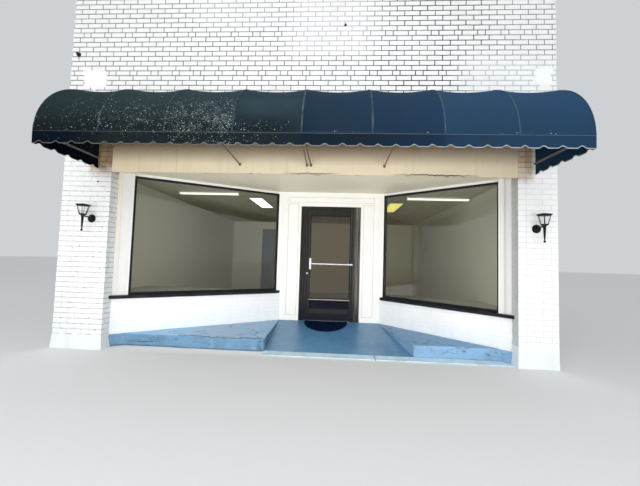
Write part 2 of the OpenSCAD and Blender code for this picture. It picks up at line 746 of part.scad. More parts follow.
module rib(x)
    across(x - tube / 2, x + tube / 2) polygon(shell(awning_out - fabric_t, hood_rise - fabric_t, tube));
// Each strut's foot and head, from the awning's middle
struts = [[-strut_l, -strut_l], [-strut_pair / 2, -strut_pair_top / 2],
          [strut_pair / 2, strut_pair_top / 2], [strut_r, strut_r]];
strut_top = seam_z - tube / 2;
strut_foot = strut_top - strut_drop;
bracket_t = 5;
module awning_frame() color("gray") placed() {
    for (i = [0 : bays])
        rib(min(max(awning_l + i * bay_w, awning_l + fabric_t + tube / 2), awning_r - fabric_t - tube / 2));
    x0 = awning_l + fabric_t;
    x1 = awning_r - fabric_t;
    front = -awning_out + fabric_t + tube;
    slab(x0, x1, front - tube, front, seam_z - tube, seam_z);
    for (x = [x0, x1 - tube])
        slab(x, x + tube, front, 0, seam_z, seam_z + tube);
    slab(x0, x1, -tube, 0, seam_z + hood_rise - fabric_t - 2 * tube, seam_z + hood_rise - fabric_t - tube);
    for (strut = struts) {
        x = awning_shift + strut[0];
        multmatrix([[1, (strut[1] - strut[0]) / front, 0, x], [0, 1, 0, 0], [0, 0, 1, 0]])
            translate([-strut_t / 2, 0, 0]) rotate([90, 0, 90]) linear_extrude(strut_t)
                polygon([[-bracket_t, strut_foot - strut_t / 2], [-bracket_t, strut_foot + strut_t / 2],
                         [front, strut_top + strut_t / 2], [front, strut_top - strut_t / 2]]);
        slab(x - bracket_w / 2, x + bracket_w / 2, -bracket_t, 0, strut_foot - bracket_h / 2,
             strut_foot + bracket_h / 2);
    }
}

// Upright six-sided block, a flat side to the street; the widths are across corners
module hexagon(w0, w1, h) linear_extrude(h, scale = w1 / w0) circle(d = w0, $fn = 6);

// Open cage of six tapered sides. A cut through each pair of sides leaves its bars.
module cage() {
    inner = 2 * cage_bar;
    flat = cos(30);
    difference() {
        hexagon(cage_foot_w, cage_top_w, cage_h);
        translate([0, 0, -cut]) hexagon(cage_foot_w - inner, cage_top_w - inner, cage_h + 2 * cut);
        for (turn = [0, 60, 120]) rotate([90, 0, turn]) translate([0, 0, -cap_w])
            linear_extrude(2 * cap_w) polygon([
                [-cage_foot_w / 4 + cage_bar / 2, cage_bar], [cage_foot_w / 4 - cage_bar / 2, cage_bar],
                [cage_top_w / 4 - cage_bar / 2, cage_h - cage_bar],
                [-cage_top_w / 4 + cage_bar / 2, cage_h - cage_bar]]);
    }
}

// Lantern on the wall: domed plate, arm, tapered stem with a ball, cage, cap and lid
ball_r = 14;
stem_foot_r = 7;
stem_top_r = 18;
arm_r = 9;
collar_r = 13;
dome_r = 40;
lantern_cap_t = 8;
cup_t = 12;
cup_foot_w = 60;
lid_h = 12;
lid_w = 158;
lid_top_w = 56;
plate_t = 10;
arm_up = 15;
foot_up = 35;
module lantern(x) translate([x, 0, lantern_z]) {
    rotate([90, 0, 0]) {
        cylinder(r = plate_r, h = plate_t);
        translate([0, 0, plate_t]) cylinder(r1 = plate_r, r2 = dome_r, h = plate_t);
        translate([0, 0, 2 * plate_t]) cylinder(r1 = dome_r, r2 = collar_r, h = plate_t);
    }
    translate([0, 0, arm_up]) rotate([90, 0, 0]) cylinder(r = arm_r, h = lantern_out, $fn = 24);
    translate([0, -lantern_out, foot_up]) {
        translate([0, 0, -stem_h]) cylinder(r1 = stem_foot_r, r2 = stem_top_r, h = stem_h, $fn = 24);
        translate([0, 0, -stem_h - ball_r / 2]) sphere(r = ball_r, $fn = 24);
        translate([0, 0, -cup_t]) hexagon(cup_foot_w, cage_foot_w + cage_bar, cup_t);
        cage();
        translate([0, 0, cage_h]) hexagon(cap_w, cap_w, lantern_cap_t);
        translate([0, 0, cage_h + lantern_cap_t]) hexagon(lid_w, lid_top_w, lid_h);
    }
}
module left_lantern() color(black) placed() lantern(-left_lantern_x);
module right_lantern() color(black) placed() lantern(right_lantern_x);

// Strip lights by the party walls and flush panel lights further in
module ceiling_lights() color("white") placed() {
    z1 = soffit_z + soffit_t;
    left = -inner_half;
    right = inner_half;
    y = door_wall_back;
    slab(left + left_light_in, left + left_light_in + light_l, y + light_back, y + light_back + strip_light_w,
         z1 - strip_light_d, z1);
    slab(right - right_light_in - light_l, right - right_light_in, y + light_back + light_stagger,
         y + light_back + light_stagger + strip_light_w, z1 - strip_light_d, z1);
    slab(left + left_panel_in, left + left_panel_in + panel_light_w, y + panel_light_back,
         y + panel_light_back + light_l, z1 - panel_light_d, z1);
    slab(right - right_panel_in - panel_light_w, right - right_panel_in,
         y + panel_light_back + 2 * light_stagger,
         y + panel_light_back + 2 * light_stagger + light_l, z1 - panel_light_d, z1);
}

left_pier();
right_pier();
fascia();
lintel_beam();
upper_front_wall();
front_coping();
left_party_wall();
right_party_wall();
back_wall();
rear_copings();
roof_deck();
shop_floor();
shop_ceiling();
entry_soffit();
left_bulkhead();
right_bulkhead();
left_window_sill();
right_window_sill();
left_window_frame();
right_window_frame();
left_window_glass();
right_window_glass();
window_casings();
display_decks();
left_door_surround();
right_door_surround();
door_head_panel();
door_frame();
door_hinges();
door_leaf();
door_glass();
door_kick_panel();
door_fittings();
entry_ramp();
left_step();
right_step();
entry_strip();
doormat();
awning_hood();
awning_valance();
awning_frame();
left_lantern();
right_lantern();
back_door();
ceiling_lights();
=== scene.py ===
import math
import random

import bpy
from mathutils import Matrix, Vector, noise


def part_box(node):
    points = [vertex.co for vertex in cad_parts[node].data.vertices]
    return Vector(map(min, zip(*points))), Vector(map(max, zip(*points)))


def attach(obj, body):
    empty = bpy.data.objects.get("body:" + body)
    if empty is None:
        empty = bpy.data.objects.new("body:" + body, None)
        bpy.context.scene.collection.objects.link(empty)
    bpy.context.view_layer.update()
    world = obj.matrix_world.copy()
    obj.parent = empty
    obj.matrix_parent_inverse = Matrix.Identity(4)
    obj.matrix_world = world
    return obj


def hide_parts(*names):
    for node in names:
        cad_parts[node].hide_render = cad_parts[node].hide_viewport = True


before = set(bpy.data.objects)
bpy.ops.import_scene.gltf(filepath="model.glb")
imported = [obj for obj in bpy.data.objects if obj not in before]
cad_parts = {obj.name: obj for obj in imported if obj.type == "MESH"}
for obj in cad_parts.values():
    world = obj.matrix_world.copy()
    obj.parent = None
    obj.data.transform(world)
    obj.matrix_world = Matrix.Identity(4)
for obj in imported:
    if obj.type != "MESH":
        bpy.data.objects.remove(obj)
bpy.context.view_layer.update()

# Camera: it stands on the pavement just right of the middle, at eye height, with a
# wide lens, turned a little left and up and tipped a little to the right.
pier_low, pier_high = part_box("left_pier")
street = pier_low.y
bpy.ops.object.camera_add(location=(0.5017, street - 4.1695, 1.2852))
camera = bpy.context.active_object
camera.name = "street_camera"
camera.data.sensor_width, camera.data.lens = 36, 17.776
turned, raised, tipped = 0.05163, 0.05413, 0.02953
aim = Matrix.Rotation(turned, 4, "Z") @ Matrix.Rotation(math.pi / 2 + raised, 4, "X") @ Matrix.Rotation(tipped, 4, "Z")
camera.matrix_world = Matrix.Translation(camera.location) @ aim
bpy.context.scene.camera = camera
bpy.context.scene.view_settings.view_transform = "Standard"


# Floor and light: a pale plain floor under an even pale sky, with a wide soft lamp high up
# behind the camera, a long one low down behind it with a narrowed beam, and a weak one in
# the shop's opening for the light that a floor sends in under an awning.
class Value:
    """A number or colour in a shader, worked with as a plain number is; | takes the higher"""

    def __init__(self, socket):
        self.socket = socket

    def math(self, how, other=0.0):
        return Value(node(self.socket.id_data, "Math", [(0, self), (1, other)], operation=how).outputs[0])

    def __add__(self, other):
        return self.math("ADD", other)

    def __sub__(self, other):
        return self.math("SUBTRACT", other)

    def __rsub__(self, other):
        return Value(node(self.socket.id_data, "Math", [(0, other), (1, self)], operation="SUBTRACT").outputs[0])

    def __mul__(self, other):
        return self.math("MULTIPLY", other)

    def __truediv__(self, other):
        return self.math("DIVIDE", other)

    def __or__(self, other):
        return self.math("MAXIMUM", other)

    def __lt__(self, other):
        return self.math("LESS_THAN", other)

    def __gt__(self, other):
        return self.math("GREATER_THAN", other)

    def __abs__(self):
        return self.math("ABSOLUTE")

    def span(self, low, high, to_low=0.0, to_high=1.0):
        """The value stretched from one range to another, and held at its ends"""
        feeds = [(0, self), (1, low), (2, high), (3, to_low), (4, to_high)]
        return Value(node(self.socket.id_data, "MapRange", feeds).outputs[0])

    def near(self, middle, half):
        """1 at the middle of a stretch, falling to 0 at its ends"""
        return abs(self - middle).span(half * 0.4, half, 1.0, 0.0)


def node(tree, kind, feeds=(), **looks):
    """One shader node, with its own settings and with what feeds each of its sockets"""
    made = tree.nodes.new("ShaderNode" + kind)
    for name, value in looks.items():
        setattr(made, name, value)
    for name, value in feeds:
        socket = made.inputs[name]
        value = value.socket if isinstance(value, Value) else value
        if isinstance(value, bpy.types.NodeSocket):
            tree.links.new(value, socket)
        else:
            socket.default_value = (*value, 1)[:4] if socket.type == "RGBA" else value
    return made


def link(value, socket):
    socket.id_data.links.new(value.socket, socket)


def seen_directly(tree):
    """1 where the background is seen by itself, in a reflection or through glass"""
    seen = node(tree, "LightPath").outputs
    return Value(seen["Is Camera Ray"]) | Value(seen["Is Glossy Ray"]) | Value(seen["Is Transmission Ray"])


bpy.ops.object.select_all(action="DESELECT")
bpy.ops.mesh.primitive_plane_add(size=160, location=(0, 0, -0.002))
ground = bpy.context.active_object
ground.name = "stage_floor"
pale_floor = bpy.data.materials.new("stage_floor")
pale_floor.use_nodes = True
sockets = pale_floor.node_tree.nodes["Principled BSDF"].inputs
for name, value in (("Base Color", (0.76, 0.77, 0.78, 1)), ("Roughness", 0.9), ("Specular IOR Level", 0.1),
                    ("Emission Color", (0.97, 0.99, 1.0, 1))):
    sockets[name].default_value = value
link(seen_directly(pale_floor.node_tree) * 0.05, sockets["Emission Strength"])
ground.data.materials.append(pale_floor)

sky = bpy.data.worlds.new("studio_sky")
bpy.context.scene.world = sky
sky.use_nodes = True
tree = sky.node_tree
lit = node(tree, "Background", [("Color", (0.97, 0.98, 1.0)), ("Strength", 0.60)])
shown = node(tree, "Background", [("Color", (0.62, 0.64, 0.66)), ("Strength", 1.0)])
both = node(tree, "MixShader", [(0, seen_directly(tree)), (1, lit.outputs[0]), (2, shown.outputs[0])])
tree.links.new(both.outputs[0], tree.nodes["World Output"].inputs["Surface"])

for name, spot, aim_at, wide, tall, power, beam in (
    ("high_lamp", Vector((-2.0, street - 9.0, 8.5)), Vector((0, street, 1.8)), 9.0, 9.0, 470, 180),
    ("long_lamp", Vector((0.35, street - 6.0, 1.0)), Vector((0.35, street, 1.5)), 8.0, 1.8, 108, 100),
    ("opening_lamp", Vector((0.10, street - 0.05, 1.25)), Vector((0.10, street + 1.7, 1.25)), 4.8, 2.0, 18, 180),
):
    bpy.ops.object.light_add(type="AREA", location=spot)
    lamp = bpy.context.active_object
    lamp.name = name
    lamp.data.shape, lamp.data.size, lamp.data.size_y = "RECTANGLE", wide, tall
    lamp.data.energy, lamp.data.spread = power, math.radians(beam)
    lamp.rotation_euler = (aim_at - spot).to_track_quat("-Z", "Y").to_euler()
    lamp.visible_camera = lamp.visible_glossy = lamp.visible_transmission = False


# Painted brick front: stretchers laid in running bond, painted white many times over.
# Each face of bricks is laid over its wall, whose own surface is the joint between them.
def alone(piece):
    """Selects one piece and nothing else"""
    bpy.ops.object.select_all(action="DESELECT")
    piece.select_set(True)
    bpy.context.view_layer.objects.active = piece


def settle(piece):
    """Puts the piece's place, turn and scale into its mesh"""
    alone(piece)
    bpy.ops.object.transform_apply(location=True, rotation=True, scale=True)


primitives = {
    "cube": bpy.ops.mesh.primitive_cube_add, "plane": bpy.ops.mesh.primitive_plane_add,
    "grid": bpy.ops.mesh.primitive_grid_add, "cylinder": bpy.ops.mesh.primitive_cylinder_add,
    "cone": bpy.ops.mesh.primitive_cone_add, "torus": bpy.ops.mesh.primitive_torus_add,
}


def add(kind, name, stretch=None, **where):
    """Adds one primitive with nothing else selected, and settles it"""
    bpy.ops.object.select_all(action="DESELECT")
    primitives[kind](**where)
    piece = bpy.context.active_object
    piece.name = name
    if stretch:
        piece.scale = stretch
    settle(piece)
    return piece


def modify(piece, kind, **settings):
    """Adds one modifier and applies it"""
    bpy.context.view_layer.objects.active = piece
    step = piece.modifiers.new(kind.lower(), kind)
    for name, value in settings.items():
        setattr(step, name, value)
    bpy.ops.object.modifier_apply(modifier=step.name)
    return piece


def repeat(piece, count, step):
    """Copies of a piece in a row, a step apart"""
    modify(piece, "ARRAY", count=count, use_relative_offset=False, use_constant_offset=True,
           constant_offset_displace=step)


def edit(piece):
    """Opens the piece with all of it selected"""
    alone(piece)
    bpy.ops.object.mode_set(mode="EDIT")
    bpy.ops.mesh.select_mode(type="FACE")
    bpy.ops.mesh.select_all(action="SELECT")


def close():
    bpy.ops.object.mode_set(mode="OBJECT")


def crop(piece, spot, normal):
    """Cuts off what lies past a plane, and closes the cut"""
    edit(piece)
    bpy.ops.mesh.bisect(plane_co=spot, plane_no=normal, use_fill=True, clear_outer=True, threshold=0.00001)
    close()


def join(*pieces):
    alone(pieces[0])
    for piece in pieces:
        piece.select_set(True)
    bpy.ops.object.join()
    return pieces[0]


def complete(piece, finish, body="building", smooth=None):
    """Gives a finished piece its material, its shading and its place in the frame"""
    settle(piece)
    piece.data.materials.clear()
    piece.data.materials.append(finish.material)
    if smooth is not None:
        bpy.ops.object.shade_smooth_by_angle(angle=math.radians(smooth))
    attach(piece, body)
    return piece


brick_l, brick_h, first_joint = 0.2032, 0.0698, -0.0191
header_every, brick_corners, bedded = 8, 24, 0.008


def lay_bricks(name, start, end, bottom, top, proud=0.005, joint=0.008, stagger=0.5, shift=0.0, lift=first_joint,
               headers=None, seed=1):
    """Bricks on the wall face from start to end in plan, cut to its height. Where headers gives
    one, that course of every eight has a brick laid end-on between each two stretchers."""
    run, width = (Vector(end) - Vector(start)).normalized(), (Vector(end) - Vector(start)).length
    turn = Matrix(((run.x, -run.y, 0), (run.y, run.x, 0), (0, 0, 1))).to_4x4()
    first = 2 * math.floor((bottom - lift) / (2 * brick_h))
    wall = add("cube", name, size=1,
               location=(shift - brick_l, bedded / 2 - proud / 2, lift + (first + 0.5) * brick_h),
               scale=(brick_l - joint, bedded + proud, brick_h - joint))
    modify(wall, "BEVEL", width=proud * 0.45, segments=1)
    bpy.ops.object.duplicate()
    extra = bpy.context.active_object
    repeat(wall, math.ceil(width / brick_l) + 3, (brick_l, 0, 0))
    alone(wall)
    bpy.ops.object.duplicate()
    bpy.ops.transform.translate(value=(-stagger * brick_l, 0, brick_h))
    wall = join(wall, bpy.context.active_object)
    settle(wall)
    repeat(wall, math.ceil(((top - lift) / brick_h - first) / 2), (0, 0, 2 * brick_h))
    in_bond = len(wall.data.vertices)
    if headers is None:
        bpy.data.objects.remove(extra)
    else:
        extra.location = (2 * brick_l, 0, ((headers - first) % header_every) * brick_h)
        settle(extra)
        repeat(extra, math.ceil(width / (3 * brick_l)) + 1, (3 * brick_l, 0, 0))
        repeat(extra, math.ceil((top - bottom) / (header_every * brick_h)), (0, 0, header_every * brick_h))
        wall = join(wall, extra)
    luck = random.Random(seed)
    corners = wall.data.vertices
    for brick in range(0, len(corners), brick_corners):
        block = [corners[k].co for k in range(brick, brick + brick_corners)]
        push, lean, drop, slide = (luck.uniform(-1, 1) for _ in range(4))
        middle, level = (sum(spot[n] for spot in block) / brick_corners for n in (0, 2))
        course = round((level - lift) / brick_h - 0.5)
        if headers is not None and course % header_every == headers:
            cut = ((0, 1), (1, 1), (1, 2))[round((middle - shift) / brick_l + 1) % 3] if brick < in_bond else (0, 0)
            off_bond = (0.75, 0.25)[course // header_every % 2]
            for spot in block:
                spot.x += brick_l * (off_bond - cut[spot.x > middle] / 2)
        for spot in block:
            spot.y += proud * (0.12 * push + 1.2 * lean * (spot.x - middle))
            spot.z += 0.0007 * drop
            spot.x += 0.0012 * slide
    for edge, way in (((0, 0, 0), (-1, 0, 0)), ((width, 0, 0), (1, 0, 0)), ((0, 0, top), (0, 0, 1)),
                      ((0, 0, bottom), (0, 0, -1))):
        crop(wall, edge, way)
    wall.data.transform(Matrix.Translation((start[0], start[1], 0)) @ turn)
    return wall


def new_effect(name, gives, **takes):
    """A shared shader effect: its tree, its results' sockets, its place and its other inputs"""
    tree = bpy.data.node_groups.new(name, "ShaderNodeTree")
    tree.interface.new_socket("Place", in_out="INPUT", socket_type="NodeSocketVector")
    for socket, value in takes.items():
        kind = "NodeSocketColor" if isinstance(value, tuple) else "NodeSocketFloat"
        tree.interface.new_socket(socket, in_out="INPUT", socket_type=kind).default_value = value
    for socket in gives:
        kind = "NodeSocketColor" if socket == "Color" else "NodeSocketFloat"
        tree.interface.new_socket(socket, in_out="OUTPUT", socket_type=kind)
    inputs, results = tree.nodes.new("NodeGroupInput").outputs, tree.nodes.new("NodeGroupOutput").inputs
    return tree, results, *(Value(inputs[socket]) for socket in ("Place", *takes))


def blend(factor, first, second, how="MIX"):
    """The colour between two colours"""
    tree = next(part.socket.id_data for part in (factor, first, second) if isinstance(part, Value))
    feeds = [(0, factor), (6, first), (7, second)]
    return Value(node(tree, "Mix", feeds, data_type="RGBA", blend_type=how).outputs[2])


def times(color, tone):
    return blend(1.0, color, tone, "MULTIPLY")


def grey(value):
    """A value as a colour, to multiply with"""
    return Value(node(value.socket.id_data, "CombineColor", [(0, value), (1, value), (2, value)]).outputs[0])


def noise_at(place, scale, detail=4, rough=0.6, stretch=None):
    """A slow random value, which a stretch draws out along one way"""
    tree = place.socket.id_data
    if stretch:
        place = Value(node(tree, "Mapping", [("Vector", place), ("Scale", stretch)]).outputs[0])
    feeds = [("Vector", place), ("Scale", scale), ("Detail", detail), ("Roughness", rough)]
    return Value(node(tree, "TexNoise", feeds).outputs[0])


# Paint and cement both have slow changes of tone, grime in slow blotches and a fine grain
film, results, place, base, grime, amount, blotch, grain = new_effect(
    "weathered_film", ("Color", "Roughness", "Height"), Base=(0.8, 0.8, 0.8, 1), Grime=(0.3, 0.3, 0.3, 1),
    Amount=0.3, Blotch=2.0, Grain=160.0)
slow = noise_at(place, blotch, 5, 0.62)
tone = times(base, grey(slow.span(0.3, 0.7, 0.965, 1.02)))
link(blend(slow.span(0.46, 0.74) * amount, tone, grime), results["Color"])
link(slow.span(0.3, 0.7, 0.42, 0.62), results["Roughness"])
link(slow * 0.55 + noise_at(place, grain, 2), results["Height"])

# Rain runs down a wall in long thin streaks
runs, results, place, width = new_effect("rain_streaks", ("Mask",), Width=7.0)
link(noise_at(place, width, stretch=(1, 1, 0.05)).span(0.52, 0.8), results["Mask"])


class Finish:
    """A material whose shader has these constants, and whose colour is laid on coat by coat"""

    def __init__(self, name, **sockets):
        self.material = bpy.data.materials.new(name)
        self.material.use_nodes = True
        self.tree = self.material.node_tree
        self.shader = self.tree.nodes["Principled BSDF"]
        self.place = Value(node(self.tree, "TexCoord").outputs["Object"])
        for socket, value in sockets.items():
            self.shader.inputs[socket.replace("_", " ")].default_value = value

    def axes(self, names):
        """The named coordinates, such as XZ"""
        parts = node(self.tree, "SeparateXYZ", [(0, self.place)]).outputs
        return [Value(parts[name]) for name in names]

    def noise(self, *looks, **stretch):
        return noise_at(self.place, *looks, **stretch)

    def effect(self, shared, **feeds):
        """The results of a shared effect at each place of this finish"""
        return node(self.tree, "Group", [("Place", self.place), *feeds.items()], node_tree=shared).outputs

    def streaks(self, width):
        return Value(self.effect(runs, Width=width)[0])

    def paint(self, color):
        self.color = color
        link(color, self.shader.inputs["Base Color"])

    def over(self, mask, tone):
        """Lays a tone over the colour, as thick as the mask says"""
        self.paint(blend(mask, self.color, tone))

    def tint(self, tone):
        self.paint(times(self.color, tone))

    def emboss(self, height, deep, strength=1.0):
        feeds = [("Height", height), ("Distance", deep), ("Strength", strength)]
        link(Value(node(self.tree, "Bump", feeds).outputs[0]), self.shader.inputs["Normal"])

    def coat(self, *parts):
        """Gives carried-over parts this finish"""
        for name in parts:
            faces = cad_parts[name].data
            faces.materials.clear()
            faces.materials.append(self.material)


def weathered(name, base, grime, amount, blotch, grain, bump, rough=None, **sockets):
    """A finish of the shared film, for more to be laid on"""
    finish = Finish(name, **sockets)
    looks = finish.effect(film, Base=base, Grime=grime, Amount=amount, Blotch=blotch, Grain=grain)
    finish.paint(Value(looks["Color"]))
    if rough is None:
        link(Value(looks["Roughness"]), finish.shader.inputs["Roughness"])
    else:
        finish.shader.inputs["Roughness"].default_value = rough
    finish.emboss(Value(looks["Height"]), bump)
    return finish


fascia_low, fascia_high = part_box("fascia")
hood_low, hood_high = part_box("awning_hood")


def shade_and_stain(paint, light, dark):
    """Browns the wall under the awning's ends: painted shade where the awning hangs over it, with brown stains of smoke
    and dust
    """
    x, z = paint.axes("XZ")
    uneven = paint.noise(9.0, 4)
    shaded = (z + (uneven - 0.5) * 0.25).span(fascia_low.z - 0.12, fascia_low.z + 0.12)
    shaded = shaded * (z < hood_high.z - 0.1) * abs(x - 0.035).span(2.96, 3.01, 1.0, 0.0)
    brown = blend(uneven.span(0.35, 0.65), light, dark)
    paint.over(shaded, blend(x > 0.0, brown, times(brown, (1.4, 1.5, 1.8))))


def brick_finish(name, base):
    """White wall paint with faint rain streaks, cooler and dirtier near the pavement"""
    paint = weathered(name, base, (0.58, 0.58, 0.57), amount=0.30, blotch=2.6, grain=190, bump=0.0009)
    z, = paint.axes("Z")
    paint.over(z.span(0.50, 0.05, 0.0, 0.55), (0.74, 0.83, 0.86))
    paint.over(paint.streaks(6.0) * z.span(0.0, 0.35, 0.40, 0.10), (0.50, 0.50, 0.49))
    # Painted shade and brown stains under the awning
    shade_and_stain(paint, (0.44, 0.33, 0.19), (0.30, 0.20, 0.11))
    return paint


brick_paint = brick_finish("brick_paint", (0.90, 0.90, 0.89))
# The pier returns take copies of this wall paint tinted for their light: the left one bluish, as a shaded face lit by
# the sky, the right one darker, as painted shade
skylit_shade_paint = brick_finish("left_return_skylit_shade_paint", (0.92, 0.95, 0.96))
dark_shade_paint = brick_finish("right_return_dark_shade_paint", (0.64, 0.65, 0.62))

# Joints of the upper wall are bare and dark, and smeared over with paint in places
dark_joint = weathered("dark_joint", (0.014, 0.014, 0.018), (0.13, 0.13, 0.14), amount=0.9, blotch=7, grain=240,
                       bump=0.002)
x, y, z = dark_joint.axes("XYZ")
painted = dark_joint.noise(1.3, 4).span(0.5, 0.72, 0.0, 0.45) | x.span(1.25, 0.75, 0.0, 0.30)
for across, up, amount in (
    (x.near(0.35, 0.95), z.span(3.95, 4.15), 0.86),
    (x.near(-0.95, 1.15), z.span(4.25, 4.60), 0.62),
    (x.span(1.95, 2.30), z.span(4.30, 3.95), 0.80),
    (x.span(2.30, 2.75), z.span(3.95, 4.30), 0.42),
):
    painted = painted | across * up * amount
dark_joint.over(painted, blend(x.span(1.8, 2.8), (0.64, 0.62, 0.67), (0.56, 0.68, 0.72)))
dark_joint.over(y.span(street + 0.001, street + 0.002), (0.66, 0.66, 0.64))
dark_joint.coat("upper_front_wall")

# Lower down the joints are full of paint: the level ones show as thin grey lines, more on
# the left pier than on the right one, and only short stretches of them are bare
pale_joint = weathered("pale_joint", (0.74, 0.74, 0.73), (0.45, 0.45, 0.44), amount=0.5, blotch=5, grain=240,
                       bump=0.001)
x, z = pale_joint.axes("XZ")
level = abs(((z - first_joint) / brick_h).math("FRACT") - 0.5).span(0.42, 0.44)
dashes, from_left = pale_joint.noise(1.0, 4, 0.6, stretch=(16, 16, 40)), x.span(-1.0, 1.0)
pale_joint.over(level * dashes.span(0.38, 0.56, 0.25, 1.0), blend(from_left, (0.40, 0.40, 0.40), (0.72, 0.72, 0.73)))
pale_joint.over(dashes.span(0.585, 0.635, 0.0, 0.95), blend(from_left, (0.05, 0.05, 0.05), (0.50, 0.50, 0.50)))
# The joints under the awning take the same painted shade and brown stains
shade_and_stain(pale_joint, (0.20, 0.11, 0.05), (0.12, 0.065, 0.03))
pale_joint.coat("left_pier", "right_pier")
weathered("sill_joint", (0.84, 0.85, 0.86), (0.50, 0.50, 0.50), amount=0.5, blotch=9, grain=240,
          bump=0.001).coat("left_bulkhead", "right_bulkhead")

right_low, right_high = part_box("right_pier")
wall_low, wall_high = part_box("upper_front_wall")
sill_low, sill_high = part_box("left_bulkhead")
sill_low_r, sill_high_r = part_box("right_bulkhead")
wall_l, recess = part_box("left_door_surround")[0].x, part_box("left_door_surround")[0].y
wall_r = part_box("right_door_surround")[1].x
open_l, open_r = pier_high.x, right_low.x
step_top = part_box("shop_floor")[1].z
corner_lap, tuck_l, tuck_r, behind_sill = 0.003, 0.064, 0.052, 0.05
for name, start, end, bottom, top, finish, laid in (
    ("upper_wall_bricks", (wall_low.x, street), (wall_high.x, street), wall_low.z, wall_high.z, brick_paint,
     dict(joint=0.0125, shift=brick_l / 2, lift=0.026, headers=6, seed=2)),
    ("left_pier_bricks", (pier_low.x, street), (open_l + corner_lap, street), 0, pier_high.z, brick_paint,
     dict(proud=0.0025, seed=3)),
    ("right_pier_column", (open_r - corner_lap, street), (open_r + brick_l, street), 0, right_high.z, brick_paint,
     dict(proud=0.0022, stagger=0, seed=4)),
    ("right_pier_bricks", (open_r + brick_l, street), (right_high.x, street), 0, right_high.z, brick_paint,
     dict(proud=0.0022, seed=5)),
    ("left_return_bricks", (open_l, street), (open_l, sill_low.y + behind_sill), 0, fascia_low.z, skylit_shade_paint,
     dict(proud=0.003, shift=0.05, seed=6)),
    ("right_return_bricks", (open_r, sill_low_r.y + behind_sill), (open_r, street), 0, fascia_low.z, dark_shade_paint,
     dict(proud=0.003, shift=0.05, seed=7)),
    ("left_sill_bricks", (open_l, sill_low.y), (wall_l + tuck_l, recess), step_top, sill_high.z, brick_paint,
     dict(proud=0.0012, joint=0.006, seed=8)),
    ("right_sill_bricks", (wall_r - tuck_r, recess), (open_r, sill_low_r.y), step_top, sill_high_r.z, brick_paint,
     dict(proud=0.0014, joint=0.006, seed=9)),
):
    complete(lay_bricks(name, start, end, bottom, top, **laid), finish)


def grid(name, across, up, shape):
    """A sheet whose points are put in place by their shares along and up"""
    sheet = add("grid", name, x_subdivisions=across, y_subdivisions=up, size=1)
    for corner in sheet.data.vertices:
        corner.co = shape(corner.co.x + 0.5, corner.co.y + 0.5)
    return sheet


def face_out(piece, way):
    """Turns an open sheet so that its faces look the given way"""
    total = sum((face.normal * face.area for face in piece.data.polygons), Vector())
    if total.dot(Vector(way)) < 0:
        piece.data.flip_normals()


def trowelled(name, width, height, shape, cell, finish, smooth):
    """A trowelled sheet of cement that faces the street"""
    sheet = grid(name, math.ceil(width / cell), math.ceil(height / cell), shape)
    edit(sheet)
    bpy.ops.mesh.normals_make_consistent(inside=False)
    close()
    face_out(sheet, (0, -1, 0))
    complete(sheet, finish, smooth=smooth)


def rough_at(*spot):
    return noise.noise(Vector(spot))


def render_patch(name, left, right, bottom, top, thick, seed):
    """A trowelled patch of cement over the bricks, with a ragged edge that dies into them"""
    def shape(u, v):
        x, z = left + u * (right - left), bottom + v * (top - bottom)
        edge = min(u, 1 - u, v, 1 - v) < 0.001
        rough = rough_at(x * 14, z * 14, seed) * 0.0012
        ragged = 0.06 * rough_at(x * 17, z * 17, seed + 7)
        x, z = x + ragged * (2 * u - 1) ** 3, z + ragged * (2 * v - 1) ** 3
        return x, street + (0.002 if edge else -thick - rough), z
    trowelled(name, right - left, top - bottom, shape, 0.02, fresh_cement, 40)


def skirt(name, outer, corner, inner, top, thick, flare, side, seed):
    """The cement skirt of a pier: it wraps its street corner and spreads at the foot"""
    front, back, rounding = abs(corner - outer), inner - street, 0.05
    turn_at = front / (front + back)

    def shape(u, v):
        z = v * top + 0.02 * rough_at(u * 9, seed, 1) * (v > 0.9)
        out = (0.001 if v > 0.999 else thick + flare * (1 - v) ** 2.2) + 0.0012 * rough_at(u * 30, v * 9, seed)
        bend = min(1.0, abs(u - turn_at) * (front + back) / rounding)
        if u < turn_at:
            along = outer + (corner - outer) * u / turn_at
            return along + side * out * (1 - bend) * 0.6, street - out * (0.6 + 0.4 * bend), z
        along = street + back * (u - turn_at) / (1 - turn_at)
        return corner + side * out * (0.6 + 0.4 * bend), along - out * (1 - bend) * 0.6, z
    trowelled(name, front + back, top, shape, 0.016, brick_paint, 50)


fresh_cement = weathered("fresh_cement", (0.93, 0.93, 0.92), (0.72, 0.72, 0.71), amount=0.10, blotch=3, grain=150,
                         bump=0.0006)
skirt("left_pier_skirt", pier_low.x + 0.001, open_l, sill_low.y, 0.19, 0.0075, 0.028, 1, 1)
skirt("right_pier_skirt", right_high.x - 0.001, open_r, sill_low_r.y, 0.27, 0.0065, 0.010, -1, 3)
render_patch("left_upper_patch", -3.125, -2.783, 3.61, 3.88, 0.0065, 5)
render_patch("right_upper_patch", 3.045, 3.285, 3.65, 3.90, 0.0065, 6)

# Old iron eyes and plugs left in the wall
iron = weathered("old_iron", (0.022, 0.020, 0.019), (0.09, 0.04, 0.02), amount=0.7, blotch=40, grain=400,
                 bump=0.0008, rough=0.75)
facing_street = (math.pi / 2, 0, 0)
eyes = []
for x, z, ring in ((-3.222, 4.101, 0.030), (0.548, 4.504, 0.017), (-2.814, 2.283, 0.010)):
    plate = add("cylinder", "wall_eyes", vertices=16, radius=ring, depth=0.006, location=(x, street - 0.008, z),
                rotation=facing_street)
    eyes.append(modify(plate, "BEVEL", width=0.0015, segments=2))
    eyes.append(add("torus", "eye_ring", major_segments=16, minor_segments=8, major_radius=ring * 0.75,
                    minor_radius=ring * 0.26, location=(x, street - 0.011 - ring * 0.8, z - ring * 0.2),
                    rotation=(0, math.pi / 2, 0.3)))
complete(join(*eyes), iron, smooth=40)


